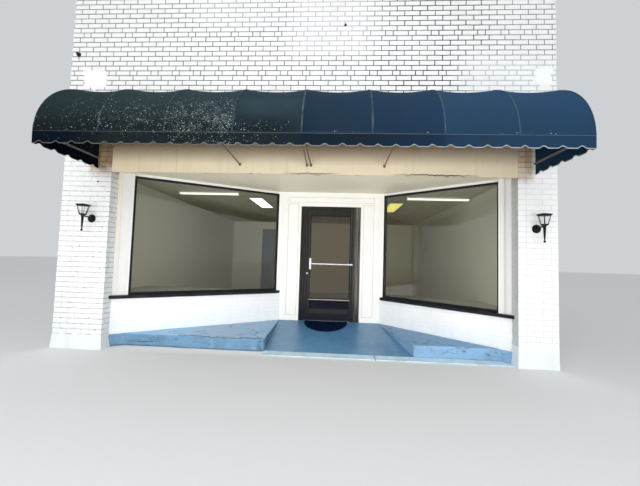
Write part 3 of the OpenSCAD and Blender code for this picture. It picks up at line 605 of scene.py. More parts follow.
# Party walls: plain cement render over blocks outside, and cream paint inside the shop
def in_blocks(place, joint_tone, joint_w, wide, deep, soft=0.1, offset=0.0):
    """Square-laid blocks, tiles or boards, each a little darker or lighter than the next"""
    feeds = [("Vector", place), ("Color1", (1, 1, 1)), ("Color2", (0.93, 0.93, 0.93)), ("Mortar", (joint_tone,) * 3),
             ("Scale", 1.0), ("Mortar Size", joint_w), ("Mortar Smooth", soft), ("Brick Width", wide),
             ("Row Height", deep)]
    return Value(node(place.socket.id_data, "TexBrick", feeds, offset=offset).outputs["Color"])


party_render = weathered("party_render", (0.56, 0.55, 0.52), (0.33, 0.32, 0.30), amount=0.6, blotch=0.9, grain=90,
                         bump=0.002)
party_render.over(party_render.streaks(3.0) * 0.5, (0.30, 0.29, 0.27))
x, y, z = party_render.axes("XYZ")
upright = Value(node(party_render.tree, "CombineXYZ", [(0, y), (1, z)]).outputs[0])
blocks = in_blocks(upright, 0.62, 0.006, 0.4064, 0.2032, soft=0.4, offset=0.5)
party_render.paint(blend(0.6, party_render.color, blocks, "MULTIPLY"))
room_cream = (0.80, 0.74, 0.60)
inside = abs(x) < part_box("roof_deck")[1].x + 0.001
party_render.over(inside * (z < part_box("shop_ceiling")[1].z), room_cream)
party_render.coat("left_party_wall", "right_party_wall")


# Back wall: the same bricks, painted off-white, laid round a steel back door that has a
# pressed panel above and below and a lever handle
back_low, back_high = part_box("back_wall")
door_low, door_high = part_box("back_door")
yard, past_end = back_high.y, 0.2
back_paint = weathered("back_brick_paint", (0.68, 0.66, 0.60), (0.36, 0.33, 0.28), amount=0.8, blotch=1.4,
                       grain=170, bump=0.0012)
back_paint.over(back_paint.streaks(4.0) * 0.55, (0.33, 0.31, 0.28))
back_joint = weathered("back_joint", (0.40, 0.39, 0.36), (0.22, 0.21, 0.19), amount=0.8, blotch=6, grain=240,
                       bump=0.002)
y, = back_joint.axes("Y")
back_joint.over(y.span(yard - 0.002, yard - 0.001, 1.0, 0.0), room_cream)
back_joint.coat("back_wall")
for name, left, right, bottom, top in (
    ("back_bricks_right", back_high.x + past_end, door_high.x, 0, back_high.z),
    ("back_bricks_left", door_low.x, back_low.x - past_end, 0, back_high.z),
    ("back_bricks_over_door", door_high.x, door_low.x, door_high.z, back_high.z),
    ("back_bricks_under_door", door_high.x, door_low.x, 0, door_low.z),
):
    complete(lay_bricks(name, (left, yard), (right, yard), bottom, top, proud=0.004, seed=11), back_paint)
weathered("grey_enamel", (0.24, 0.27, 0.30), (0.12, 0.10, 0.08), amount=0.4, blotch=3, grain=300, bump=0.0003,
          rough=0.45).coat("back_door")


# Copings: folded sheet metal caps over the walls, painted pale grey, each length lapped
# over the next under a cover strip
def bar(name, low, high, soft, rounds=3):
    """A straight bar with rounded edges"""
    low, high = Vector(low), Vector(high)
    piece = add("cube", name, size=1, location=(low + high) / 2, scale=high - low)
    return modify(piece, "BEVEL", width=soft, segments=rounds, limit_method="ANGLE")


coping_paint = weathered("coping_paint", (0.60, 0.61, 0.61), (0.28, 0.25, 0.21), amount=0.6, blotch=2.2, grain=220,
                         bump=0.0004, rough=0.5)
coping_paint.coat("front_coping", "rear_copings")
cap_low, cap_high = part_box("front_coping")
side_low, side_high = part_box("left_party_wall")
rear_low, rear_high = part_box("rear_copings")
lengths, half_strap, fold, inset = 5, 0.03, 0.0015, 0.0002
edge_in = cap_high.y - pier_high.y + fold
straps = []
for k in range(1, lengths):
    share = k / lengths
    x = cap_low.x + (cap_high.x - cap_low.x) * share
    straps.append(((x - half_strap, cap_low.y - fold, cap_low.z - fold),
                   (x + half_strap, cap_high.y + fold, cap_high.z - inset)))
    y = side_low.y + (side_high.y - side_low.y) * share
    for left, right in ((rear_low.x, side_high.x + edge_in), (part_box("right_party_wall")[0].x - edge_in, rear_high.x)):
        straps.append(((left, y - half_strap, side_high.z - fold), (right, y + half_strap, rear_high.z + fold)))
    x = back_low.x + (back_high.x - back_low.x) * share
    straps.append(((x - half_strap, back_low.y - edge_in, back_high.z - fold),
                   (x + half_strap, rear_high.y - inset, back_high.z + (rear_high.z - side_high.z) + fold)))
straps = [bar("coping_strips", low, high, 0.0012, rounds=1) for low, high in straps]
complete(join(*straps), coping_paint)


# Roof: a timber deck covered with rolled felt in lapped strips, turned up at the walls
# over a sloping fillet
deck_low, deck_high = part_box("roof_deck")
deck_w, deck_l = deck_high.x - deck_low.x, deck_high.y - deck_low.y
felt = weathered("roof_felt", (0.085, 0.085, 0.09), (0.20, 0.19, 0.17), amount=0.8, blotch=1.1, grain=260,
                 bump=0.002, rough=0.92)
felt.coat("roof_deck")
strips = []
lap, roll = 0.08, 0.95
count = math.ceil((deck_l - lap) / (roll - lap))
width = (deck_l - lap) / count + lap
for k in range(count):
    def felt_spot(u, v):
        lift = 0.0035 + 0.004 * (v if k < count - 1 else 0.4) + 0.0012 * rough_at(u * 22, v * 3 + k * 7, 0)
        return deck_low.x + u * deck_w, deck_low.y + k * (width - lap) + v * width, deck_high.z + lift
    strips.append(modify(grid("felt_strips", 60, 8, felt_spot), "SOLIDIFY", thickness=0.003, offset=-1))
complete(join(*strips), felt, smooth=30)
fillet_w, upstand = 0.11, 0.09
fillet = add("plane", "felt_upstand", stretch=(deck_w, deck_l, 1), size=1,
             location=((deck_low.x + deck_high.x) / 2, (deck_low.y + deck_high.y) / 2, deck_high.z + 0.006))
edit(fillet)
bpy.ops.mesh.inset(thickness=fillet_w)
bpy.ops.mesh.delete(type="FACE")
close()
corners = fillet.data.vertices
for corner in corners:
    spot = corner.co
    if min(spot.x - deck_low.x, deck_high.x - spot.x, spot.y - deck_low.y, deck_high.y - spot.y) < 0.01:
        spot.z += fillet_w
edit(fillet)
bpy.ops.mesh.select_mode(type="EDGE")
bpy.ops.mesh.select_all(action="DESELECT")
close()
for line in fillet.data.edges:
    line.select = all(corners[k].co.z > deck_high.z + fillet_w * 0.9 for k in line.vertices)
bpy.ops.object.mode_set(mode="EDIT")
bpy.ops.mesh.extrude_region_move(TRANSFORM_OT_translate={"value": (0, 0, upstand)})
close()
complete(modify(fillet, "SOLIDIFY", thickness=0.004, offset=1), felt, smooth=20)


# Fascia and soffit: smooth boards painted cream and beige, jointed at each board's end,
# darkened with painted shade under the awning and flaking along the fascia's lower edge
cream = weathered("cream_boards", (0.93, 0.80, 0.56), (0.62, 0.47, 0.30), amount=0.30, blotch=1.7, grain=120,
                  bump=0.0006)
x, z = cream.axes("XZ")
foot = fascia_low.z
# Painted shade: the fascia darkens brown towards its top, where the awning hangs over it
cream.over(z.span(foot + 0.38, foot + 0.12, 0.80, 0.0), (0.24, 0.15, 0.09))
cream.over(x.span(1.2, 2.8, 0.0, 0.35), (0.46, 0.40, 0.32))
cream.over(cream.streaks(9.0) * 0.30, (0.50, 0.38, 0.25))
cream.over(cream.noise(48, 3, 0.65).span(0.66, 0.72, 0.0, 0.55), (0.42, 0.30, 0.19))
flaked = cream.noise(1.0, 6, 0.75, stretch=(3, 3, 26)).span(0.58, 0.66)
cream.over(flaked * z.span(foot + 0.006, foot + 0.030, 1.0, 0.0), (0.20, 0.13, 0.09))
# Two long cracks wander along the lower edge, where the boards' foot has split
wander = cream.noise(1.0, 4, 0.6, stretch=(8, 8, 1)) * 0.045
length = x.near(1.78, 0.62) | x.near(0.15, 0.42) * 0.7
cream.over(abs(z - (wander + (foot - 0.010))).span(0.005, 0.010, 1.0, 0.0) * length, (0.020, 0.013, 0.010))
cream.coat("fascia")
weathered("soffit_paint", (0.95, 0.86, 0.66), (0.72, 0.63, 0.48), amount=0.30, blotch=1.3, grain=120,
          bump=0.0006).coat("entry_soffit")
weathered("lintel_steel", (0.10, 0.10, 0.10), (0.14, 0.07, 0.04), amount=0.6, blotch=5, grain=200, bump=0.001,
          rough=0.7).coat("lintel_beam")


# Woodwork of the windows and the door wall: painted ivory white, gloss, with a small
# moulding planted round each recessed panel
weathered("ivory_gloss", (0.90, 0.89, 0.85), (0.62, 0.58, 0.49), amount=0.25, blotch=2.4, grain=150, bump=0.0004,
          rough=0.38).coat("left_door_surround", "right_door_surround", "door_head_panel")
# The window casings take a darker copy of the ivory gloss, as painted shade
casing = weathered("casing_gloss", (0.76, 0.76, 0.74), (0.58, 0.55, 0.48), amount=0.25, blotch=2.4, grain=150,
                   bump=0.0004, rough=0.38)
x, z = casing.axes("XZ")
casing.over((x < open_l + 0.045) * z.span(1.2, 2.3, 0.25, 1.0), (0.84, 0.76, 0.60))
casing.over((x > open_r - 0.068) * (x < open_r - 0.046), (0.66, 0.63, 0.61))
casing.coat("window_casings")


def moulding(name, left, right, bottom, top, face, width, rise):
    """A mitred strip round a panel of the door wall, planted on the given plane"""
    strip = add("plane", name, stretch=(right - left, top - bottom, 1), size=1, rotation=facing_street,
                location=((left + right) / 2, face, (bottom + top) / 2))
    edit(strip)
    bpy.ops.mesh.inset(thickness=width)
    bpy.ops.mesh.delete(type="FACE")
    close()
    modify(strip, "SOLIDIFY", thickness=rise, offset=1)
    return modify(strip, "BEVEL", width=rise * 0.45, segments=3, limit_method="ANGLE")


frame_low, frame_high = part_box("door_frame")
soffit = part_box("door_head_panel")[1].z
long_top, long_foot = soffit - 0.085, soffit - 0.190
post, board, rail, plinth, sunk = 0.178, 0.044, 0.022, 0.09, 0.014
strips = [moulding("panel_moulds", *panel, recess + sunk, 0.012, 0.011) for panel in (
    (wall_l + post, frame_low.x - board, step_top + plinth, long_foot - rail),
    (frame_high.x + board, wall_r - post, step_top + plinth, long_foot - rail),
    (wall_l + post, wall_r - post, long_foot, long_top),
)]
# The mouldings are a darker ivory: painted shade, which draws their outline
mould_shade_ivory = weathered("mould_shade_ivory", (0.78, 0.74, 0.71), (0.50, 0.45, 0.42), amount=0.5, blotch=6, grain=150,
                        bump=0.0004, rough=0.5)
complete(join(*strips), mould_shade_ivory, smooth=40)


# Shop windows: black enamelled metal frames and sills that hold clear plate glass
weathered("black_enamel", (0.007, 0.009, 0.011), (0.045, 0.045, 0.045), amount=0.30, blotch=4, grain=300,
          bump=0.0003, rough=0.38, Specular_IOR_Level=0.3).coat(
    "left_window_frame", "right_window_frame", "left_window_sill", "right_window_sill")


def clear_glass(name, tint):
    """Float glass that lets light through to what stands behind it"""
    glass = Finish(name, Base_Color=(*tint, 1), IOR=1.46, Transmission_Weight=1.0)
    link(glass.noise(3.0).span(0.45, 0.75, 0.0, 0.05), glass.shader.inputs["Roughness"])
    seen = node(glass.tree, "LightPath").outputs
    clear = node(glass.tree, "BsdfTransparent", [("Color", tint)])
    mix = node(glass.tree, "MixShader", [(0, Value(seen["Is Shadow Ray"]) | Value(seen["Is Diffuse Ray"])),
                                         (1, glass.shader.outputs[0]), (2, clear.outputs[0])])
    glass.tree.links.new(mix.outputs[0], glass.tree.nodes["Material Output"].inputs["Surface"])
    return glass


clear_glass("plate_glass", (0.93, 0.96, 0.95)).coat("left_window_glass", "right_window_glass")
clear_glass("smoked_glass", (0.74, 0.68, 0.61)).coat("door_glass")


# Shop door: a dark bronze aluminium door and frame with one tall pane in glazing beads,
# a kick panel, and a metal nosing with a sunk top along the threshold
def pick(piece, test):
    """Opens the piece with only those faces selected that pass the test"""
    edit(piece)
    bpy.ops.mesh.select_all(action="DESELECT")
    close()
    for face in piece.data.polygons:
        face.select = test(face.normal)
    bpy.ops.object.mode_set(mode="EDIT")


bronze = weathered("dark_bronze", (0.009, 0.010, 0.009), (0.035, 0.031, 0.024), amount=0.4, blotch=3, grain=320,
                   bump=0.0002, rough=0.42, Metallic=0.2, Specular_IOR_Level=0.28)
leaf_low, leaf_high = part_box("door_leaf")
glass_low, glass_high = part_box("door_glass")
kick_low, kick_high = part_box("door_kick_panel")
x, z = bronze.axes("XZ")
# The right jamb is lighter in upright streaks and the leaf's and pane's edges in thin lines: partly rubbed wear, partly
# painted highlight
rubbed = bronze.noise(1.0, 4, stretch=(70, 70, 1.3)).span(0.36, 0.60, 0.30, 1.0)
bronze.over(rubbed * x.span(leaf_high.x - 0.05, leaf_high.x + 0.01, 0.10, 0.95), (0.165, 0.152, 0.126))
for edge, worn in ((leaf_low.x, 0.7), (leaf_high.x, 0.8), (glass_low.x - 0.012, 0.5), (glass_high.x + 0.012, 0.6)):
    bronze.over(x.near(edge, 0.006) * (rubbed * worn), (0.125, 0.125, 0.115))
bronze.over(z.span(leaf_low.z + 0.45, leaf_low.z + 0.05) * 0.7, (0.005, 0.007, 0.020))
bronze.coat("door_frame", "door_leaf", "door_hinges")
kick = weathered("kick_enamel", (0.005, 0.007, 0.015), (0.014, 0.016, 0.024), amount=0.5, blotch=5, grain=320,
                 bump=0.0003, rough=0.45, Specular_IOR_Level=0.12)
z, = kick.axes("Z")
kick.over(z.span(kick_low.z + 0.115, kick_low.z + 0.095) * 0.8, (0.033, 0.034, 0.031))
kick.coat("door_kick_panel")
bead, kick_field = 0.014, 0.006
beads = [moulding("glazing_beads", low.x, high.x, low.z, high.z, plane, bead, rise) for low, high, plane, rise in (
    (glass_low, glass_high, glass_low.y, 0.013), (kick_low, kick_high, kick_low.y + kick_field, 0.009))]
complete(join(*beads), bronze, body="door", smooth=40)

nosing_l, nosing_r, nosing_h = frame_low.x + 0.105, frame_high.x - 0.180, 0.010
nosing = add("cube", "threshold_nosing", size=1, scale=(nosing_r - nosing_l, 0.016, nosing_h),
             location=((nosing_l + nosing_r) / 2, recess + 0.003, step_top + nosing_h / 2))
pick(nosing, lambda normal: normal.z > 0.9)
bpy.ops.mesh.inset(thickness=0.004)
bpy.ops.transform.translate(value=(0, 0, -0.002))
close()
modify(nosing, "BEVEL", width=0.001, segments=2, limit_method="ANGLE")
dull = weathered("trodden_metal", (0.40, 0.42, 0.47), (0.20, 0.20, 0.20), amount=0.5, blotch=12, grain=400,
                 bump=0.0002, rough=0.5, Metallic=0.3)
complete(nosing, dull, smooth=40)


# Door furniture: a square white push bar on two brackets with an upright grip, a rim
# lock cylinder, and a worn tan cap with white ends on the rail over the kick panel
bright = weathered("bright_metal", (0.86, 0.86, 0.85), (0.50, 0.47, 0.42), amount=0.25, blotch=9, grain=400,
                   bump=0.0001, rough=0.4, Metallic=0.1)
fit_low, fit_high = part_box("door_fittings")
face = frame_low.y
bar_s, stand_off, pull_h, lock_r, lock_z, cap_h = 0.020, 0.025, 0.170, 0.014, 0.845, 0.014
grip_in, grip_w, grip_h = 0.006, 0.038, 0.205
bar_z, bar_y = fit_high.z - pull_h / 2, face - stand_off
bar_l, bar_r = glass_low.x - bar_s / 2, fit_high.x
push = [
    bar("push_bar", (bar_l, bar_y - bar_s, bar_z - bar_s / 2), (bar_r, bar_y, bar_z + bar_s / 2), 0.005),
    bar("grip", (bar_l + grip_in, fit_low.y, bar_z - grip_h / 2),
        (bar_l + grip_in + grip_w, bar_y - bar_s + 0.002, bar_z + grip_h / 2), 0.004),
]
for x in (bar_l, glass_high.x + bar_s):
    push.append(bar("bracket", (x, bar_y - 0.002, bar_z - bar_s / 2), (x + bar_s, face, bar_z + bar_s / 2), 0.003))
    push.append(bar("rose", (x - 0.005, face - 0.004, bar_z - 0.017), (x + bar_s + 0.005, face, bar_z + 0.017),
                    0.0015))
push = join(*push)
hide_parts("door_fittings")
complete(push, bright, body="door", smooth=40)

lock = add("cylinder", "lock_cylinder", vertices=24, radius=lock_r, depth=lock_r, rotation=facing_street,
           location=(fit_low.x + lock_r, face - lock_r / 2, leaf_low.z + lock_z))
pick(lock, lambda normal: normal.y < -0.9)
for inward, along in ((0.3, 0.002), (0.15, -0.001)):
    bpy.ops.mesh.inset(thickness=lock_r * inward)
    bpy.ops.transform.translate(value=(0, along, 0))
close()
modify(lock, "BEVEL", width=0.0008, segments=2, limit_method="ANGLE")
complete(lock, bright, body="door", smooth=40)

cap_bar = bar("rail_cap", (glass_low.x, face - 0.004, fit_low.z), (glass_high.x, face, fit_low.z + cap_h), 0.0015)
tan_cap = weathered("worn_cap", (0.56, 0.49, 0.42), (0.27, 0.21, 0.16), amount=0.8, blotch=14, grain=300,
                    bump=0.0003, rough=0.5, Metallic=0.3)
x, = tan_cap.axes("X")
half_cap = (glass_high.x - glass_low.x) / 2
from_middle = abs(x - (glass_low.x + glass_high.x) / 2)
tan_cap.over(from_middle.span(half_cap - 0.016, half_cap - 0.012), (0.82, 0.82, 0.80))
complete(cap_bar, tan_cap, body="door", smooth=40)


# Entrance: a painted concrete ramp between two painted steps with rough trowelled
# edges, and a band of bare concrete along their foot
def worn_copy(part, voxel):
    """A copy of a carried-over part with its edges worn round"""
    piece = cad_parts[part].copy()
    piece.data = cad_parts[part].data.copy()
    piece.parent = None
    piece.name = part + "_trowelled"
    for key in [key for key in piece.keys() if key.startswith("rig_")]:
        del piece[key]
    bpy.context.scene.collection.objects.link(piece)
    edit(piece)
    bpy.ops.mesh.remove_doubles(threshold=0.0001)
    close()
    modify(piece, "REMESH", mode="VOXEL", voxel_size=voxel)
    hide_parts(part)
    return piece


step_high, step_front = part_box("left_step")[1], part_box("entry_ramp")[0].y
blue = weathered("blue_floor_paint", (0.165, 0.325, 0.485), (0.095, 0.180, 0.265), amount=0.6, blotch=5.0,
                 grain=130, bump=0.0012, rough=0.6)
x, y, z = blue.axes("XYZ")
worn, from_left = blue.noise(4.5, 8, 0.7), x.span(-0.5, 1.4)
blue.tint(blend(from_left, (0.86, 0.88, 0.90), (1.40, 1.26, 1.24)))
facing = node(blue.tree, "SeparateXYZ", [(0, node(blue.tree, "NewGeometry").outputs["Normal"])]).outputs
flat_top = Value(facing["Z"]).span(0.55, 0.9)
# Painted light: the tops are lighter than the fronts, as if lit by the sky, broken up by the mottle
blue.over(flat_top * worn.span(0.35, 0.6, 0.75, 1.0), blend(from_left, (0.30, 0.53, 0.78), (0.158, 0.315, 0.505)))
blue.over(x.near(-1.05, 0.75) * flat_top * worn.span(0.44, 0.58, 0.0, 0.75), (0.42, 0.46, 0.57))
blue.over(worn.span(0.60, 0.66, 0.0, 0.45), (0.28, 0.38, 0.48))
# The patch let into the left step has a dark open edge, and the old step has one long crack
height = z + (worn - 0.5) * 0.09
patch_edge = height.near(step_high.z - 0.004, 0.009) * y.near(step_front, 0.035) * 0.7 * (abs(x + 1.08) < 0.62)
old_crack = height.near(0.066, 0.007) * x.near(-2.19, 0.30)
blue.over(patch_edge | old_crack, (0.035, 0.060, 0.095))
cracks = blue.noise(1.0, 5, 0.6, stretch=(2.2, 2.2, 7)).near(0.5, 0.011) * blue.noise(1.7, 2).span(0.46, 0.56, 0.0, 0.9)
foot = z.span(0.022, 0.004) * worn.span(0.35, 0.6, 0.4, 1.0)
blue.over(cracks | foot, (0.055, 0.085, 0.12))
inner_side = x.near(step_high.x - 0.02, 0.10) * (1.0 - flat_top) * worn.span(0.44, 0.56)
blue.over(inner_side, (0.070, 0.135, 0.215))
patch_l, patch_lap, patch_deep = -1.700, 0.010, 0.37
patch = bar("left_step_patch", (patch_l, step_front - patch_lap, 0.0),
            (step_high.x - 0.010, step_front + patch_deep, step_high.z + 0.004), 0.012)
modify(patch, "REMESH", mode="VOXEL", voxel_size=0.011)
for step in (patch, worn_copy("left_step", 0.014), worn_copy("right_step", 0.014)):
    for corner in step.data.vertices:
        spot = corner.co
        wave = noise.noise(spot * 5.0) * 0.0035 + noise.noise(spot * 22.0) * 0.0014
        spot.z = max(0.0, spot.z + wave - 0.003)
        spot.y += noise.noise(spot * 6.0 + Vector((9, 0, 0))) * 0.004
    complete(step, blue, smooth=60)

ramp_low, ramp_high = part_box("entry_ramp")
ramp = weathered("ramp_paint", (0.082, 0.228, 0.412), (0.050, 0.130, 0.225), amount=0.7, blotch=1.8, grain=140,
                 bump=0.0008, rough=0.36)
x, y = ramp.axes("XY")
# Painted highlight: the ramp is lighter towards its front left, where its gloss catches the light
ramp.over((y + x * 0.5).span(ramp_low.y + 0.9, ramp_low.y + 0.1) * 0.65, (0.115, 0.275, 0.445))
trodden = ramp.noise(1.0, 7, 0.7, stretch=(9, 4.5, 1))
ramp.over(trodden.span(0.56, 0.70, 0.0, 0.50), (0.20, 0.34, 0.46))
ramp.over(trodden.span(0.44, 0.32, 0.0, 0.45), (0.030, 0.085, 0.160))
ramp.coat("entry_ramp")
pale = weathered("pale_concrete", (0.60, 0.78, 0.90), (0.33, 0.38, 0.41), amount=0.6, blotch=6, grain=120,
                 bump=0.0015, rough=0.85)
x, = pale.axes("X")
joint_x = 1.05
pale.over(abs(x - joint_x).span(0.004, 0.007, 1.0, 0.0), (0.10, 0.10, 0.10))
pale.coat("entry_strip")


# Doormat: a half round of dark blue ribbed pile on a rubber back, with a plain rim
mat_low, mat_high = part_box("doormat")
half, deep = (mat_high.x - mat_low.x) / 2, mat_high.y - mat_low.y
slope = (ramp_high.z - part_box("entry_strip")[1].z) / (ramp_high.y - ramp_low.y)
rim_h, field_h, edge_h = 0.0105, 0.008, 0.002


def mat_spot(s, v):
    u = 2 * s - 1
    round_edge = math.sqrt(max(0.0, 1 - u * u))
    x, y = u * half, v * round_edge
    pile = 0.0035 * (0.5 + 0.5 * math.sin(x * 330)) + 0.002 * rough_at(x * 260, y * 130, 3)
    on_rim = round_edge - y < 0.07 or y < 0.04 or abs(u) > 0.95
    height = rim_h if on_rim else field_h + pile
    if v > 0.999 or v < 0.001 or abs(u) > 0.999:
        height = edge_h
    y_place = mat_high.y - y * deep
    return (mat_low.x + mat_high.x) / 2 + x, y_place, ramp_high.z - (ramp_high.y - y_place) * slope + height


mat = grid("doormat_pile", 130, 80, mat_spot)
edit(mat)
bpy.ops.mesh.remove_doubles(threshold=0.0002)
close()
face_out(mat, (0, 0, 1))
modify(mat, "SOLIDIFY", thickness=0.0018, offset=-1)
pile = weathered("mat_pile", (0.001, 0.006, 0.030), (0.006, 0.020, 0.060), amount=0.5, blotch=14, grain=500,
                 bump=0.002, rough=0.95, Specular_IOR_Level=0.05)
pile.over(pile.noise(120, 2).span(0.60, 0.68, 0.0, 0.7), (0.020, 0.075, 0.18))
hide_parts("doormat")
complete(mat, pile, smooth=50)


# Awning frame: square metal tube, welded, its struts run back to plates that are bolted
# to the fascia; the struts and plates are browned by rust
tube = weathered("awning_tube", (0.23, 0.23, 0.24), (0.13, 0.10, 0.08), amount=0.6, blotch=8, grain=300,
                 bump=0.0003, rough=0.55, Metallic=0.3)
seam = hood_low.z
z, = tube.axes("Z")
tube.over(z.span(seam - 0.004, seam - 0.012) * 0.85, (0.27, 0.20, 0.155))
tube.coat("awning_frame")
frame_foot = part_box("awning_frame")[0].z
plate_t, plate_h, bolt_up = 0.005, 0.040, 0.013
bolts = []
for x in (-0.835, 0.082, 0.134, 1.112):
    for z in (-bolt_up, bolt_up):
        bolt = add("cylinder", "strut_bolts", vertices=6, radius=0.0055, depth=0.005, rotation=facing_street,
                   location=(x, street - plate_t - 0.0024, frame_foot + plate_h / 2 + z))
        bolts.append(modify(bolt, "BEVEL", width=0.0008, segments=1))
complete(join(*bolts), iron, smooth=30)


# Awning cloth: woven canvas stretched over the ribs, so it hollows between them. It is
# sewn from one width for each bay, dusty along its foot and spotted with mildew on the left.
reach, rise = street - hood_low.y, hood_high.z - seam
bays, sag = 8, 0.030
long = hood_high.x - hood_low.x
bay = long / bays

weave, results, place, thread = new_effect("canvas_weave", ("Height",), Thread=900.0)
warp, weft = (Value(node(weave, "TexWave", [("Vector", place), ("Scale", thread)], bands_direction=way).outputs["Fac"])
              for way in "XZ")
link(warp | weft, results["Height"])


def faded(cloth, stops):
    """The colour of cloth along the awning, from its left end to its right end"""
    x, = cloth.axes("X")
    ramp = node(cloth.tree, "ValToRGB", [(0, x.span(hood_low.x, hood_high.x))])
    points = ramp.color_ramp.elements
    while len(points) < len(stops):
        points.new(0.5)
    for point, (x, color) in zip(points, stops):
        point.position, point.color = (x - hood_low.x) / long, (*color, 1)
    return Value(ramp.outputs[0])


def mildew(cloth, scale, crowd, size):
    """Round specks, some fainter than others; crowd is the share of places that hold one"""
    cells = node(cloth.tree, "TexVoronoi", [("Vector", cloth.place), ("Scale", scale)]).outputs
    luck = node(cloth.tree, "SeparateColor", [(0, cells["Color"])]).outputs
    there = Value(cells["Distance"]).span(size * 0.6, size, 1.0, 0.0) * (Value(luck[0]) < crowd)
    return there * Value(luck[1]).span(0.0, 1.0, 0.35, 1.0)


canvas = Finish("awning_canvas", Roughness=0.82, Specular_IOR_Level=0.06)
x, z = canvas.axes("XZ")
mottle = canvas.noise(3.0, 7, 0.65)
canvas.paint(faded(canvas, [
    (-2.8, (0.0150, 0.0275, 0.0305)), (-2.12, (0.0160, 0.0290, 0.0320)), (-2.08, (0.0186, 0.0340, 0.0365)),
    (0.09, (0.0195, 0.0390, 0.0530)), (0.12, (0.0130, 0.0300, 0.0540)), (1.56, (0.0150, 0.0400, 0.0810)),
    (1.60, (0.0200, 0.0550, 0.1060)), (2.9, (0.0195, 0.0590, 0.1210))]))
canvas.over(mottle.span(0.45, 0.75, 0.0, 0.25), (0.025, 0.039, 0.045))
# One bay is hazed with dust over its middle
hazed = x.near(-0.25, 0.42) * z.near(seam + 0.33, 0.19)
canvas.over(hazed * mottle.span(0.35, 0.65, 0.2, 0.5), (0.044, 0.069, 0.092))
# Painted shade and light: the cloth is darker towards its foot, most of all on the left, and lighter up near the wall;
# its loose hem is darker
height_shade = blend(z.span(seam + 0.05, seam + 0.42), grey(x.span(-0.15, 0.25, 0.36, 0.76)), (1.06, 1.06, 1.06))
height_shade = blend(z.span(seam + 0.42, seam + 0.80), height_shade, (1.20, 1.28, 1.28))
hem_tone = blend(x.span(-2.0, -2.5), (0.42, 0.40, 0.40), (0.10, 0.14, 0.32))
hem_tone = blend(x.span(0.6, 2.4), hem_tone, (0.72, 0.69, 0.69))
canvas.tint(blend(z.span(seam - 0.002, seam + 0.001), hem_tone, height_shade))
dust = z.span(seam + 0.035, seam + 0.002, 0.0, 0.60) * mottle.span(0.35, 0.65, 0.2, 1.0)
canvas.over(dust * ((z > seam) * x.near(-0.2, 2.3)), (0.042, 0.038, 0.034))
crowd = (x.span(-2.84, -1.37, 0.06, 0.44) | x.span(-1.42, -1.25)) * x.span(-0.63, -0.60, 1.0, 0.0)
low_band = x.near(-0.60, 0.60) * z.span(seam + 0.16, seam + 0.08, 0.0, 0.30)
crowd = crowd * z.span(seam + 0.52, seam + 0.16, 0.05, 1.0) | low_band
crowd = crowd * canvas.noise(10.0, 4).span(0.40, 0.60, 0.20, 1.0) * z.span(seam - 0.04, seam + 0.10, 0.22, 1.0)
canvas.over(mildew(canvas, 118, crowd, 0.42), (0.34, 0.40, 0.36))
canvas.over(mildew(canvas, 62, crowd * 0.55, 0.36), (0.58, 0.64, 0.58))
chalk = z.near(seam + 0.022, 0.016) * (x > 0.45) * mildew(canvas, 42, 0.14, 0.24)
canvas.over(chalk, (0.62, 0.66, 0.68))
canvas.emboss(Value(canvas.effect(weave, Thread=260.0)[0]), 0.0004, 0.6)

rib_clear, end_clear = 0.0115, 0.0265


def bay_ends(k):
    """Where the cloth of bay k comes off its two ribs"""
    return (k * bay + (end_clear if k == 0 else rib_clear),
            (k + 1) * bay - (end_clear if k == bays - 1 else rib_clear))


def hood_point(u, v, lift=0.0):
    """A point of the cloth, u along the awning in metres and v from the seam to the wall"""
    turn = math.pi / 2 * v
    out = Vector((0, -math.cos(turn) / reach, math.sin(turn) / rise)).normalized()
    left, right = bay_ends(min(bays - 1, int(u / bay + 1e-6)))
    part = min(1.0, max(0.0, (u - left) / (right - left)))
    low = sag * 4 * part * (1 - part) * math.sin(math.pi * min(1, max(0, v))) ** 0.55
    spot = Vector((hood_low.x + u, street - reach * math.cos(turn), seam + rise * math.sin(turn)))
    return spot + out * (lift - low)


cloth_t, across = 0.0014, 14


def cloth_spot(s, v):
    k, j = divmod(round(s * bays * across), across)
    left, right = bay_ends(k)
    u = left + (right - left) * (j - 1) / (across - 2) if j else k * bay
    ripple = 0.0022 * rough_at(u * 3.0, v * 2.0, 5) * math.sin(math.pi * v)
    return hood_point(u, v, -0.002) + Vector((0, -ripple, 0))


hood = grid("awning_cloth", bays * across, 40, cloth_spot)
face_out(hood, (0, -1, 1))
modify(hood, "SOLIDIFY", thickness=cloth_t, offset=-1)
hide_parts("awning_hood")
complete(hood, canvas, smooth=60)

for name, side, x in (("left_gable_cloth", -1, hood_low.x + 0.0015), ("right_gable_cloth", 1, hood_high.x - 0.0015)):
    def gable_spot(s, v):
        turn = math.pi / 2 * v
        hollow = -side * 0.008 * math.sin(math.pi * s) * math.sin(math.pi * v)
        return (x + hollow, street - 0.001 - (reach - 0.004) * s * math.cos(turn),
                seam + (rise - 0.004) * math.sin(turn) * s)
    gable = grid(name, 18, 24, gable_spot)
    edit(gable)
    bpy.ops.mesh.remove_doubles(threshold=0.0005)
    bpy.ops.mesh.normals_make_consistent(inside=False)
    close()
    face_out(gable, (side, 0, 0))
    modify(gable, "SOLIDIFY", thickness=cloth_t, offset=-1)
    complete(gable, canvas, smooth=60)

# Valance: the loose hem below the seam, cut with rounded notches and bound with tape
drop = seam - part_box("awning_valance")[0].z
waves, side_waves, wave_h, notch, tape_w, skin = 32.2, 5, 0.024, 0.28, 0.009, 0.0014


def hem(t):
    """Height of the hem's edge over its lowest line, t in waves"""
    off = abs(((t + 0.05) % 1.0) - 0.5)
    return wave_h * (0.5 + 0.5 * math.cos(math.pi * off / notch)) if off < notch else 0.0


def hang(u, w):
    """How far the loose hem falls back at u, w from 0 at the seam to 1 at its edge"""
    return w ** 1.5 * (0.006 + 0.004 * math.sin(u * 8.5) + 0.006 * rough_at(u * 2.2, 0.5, 2))


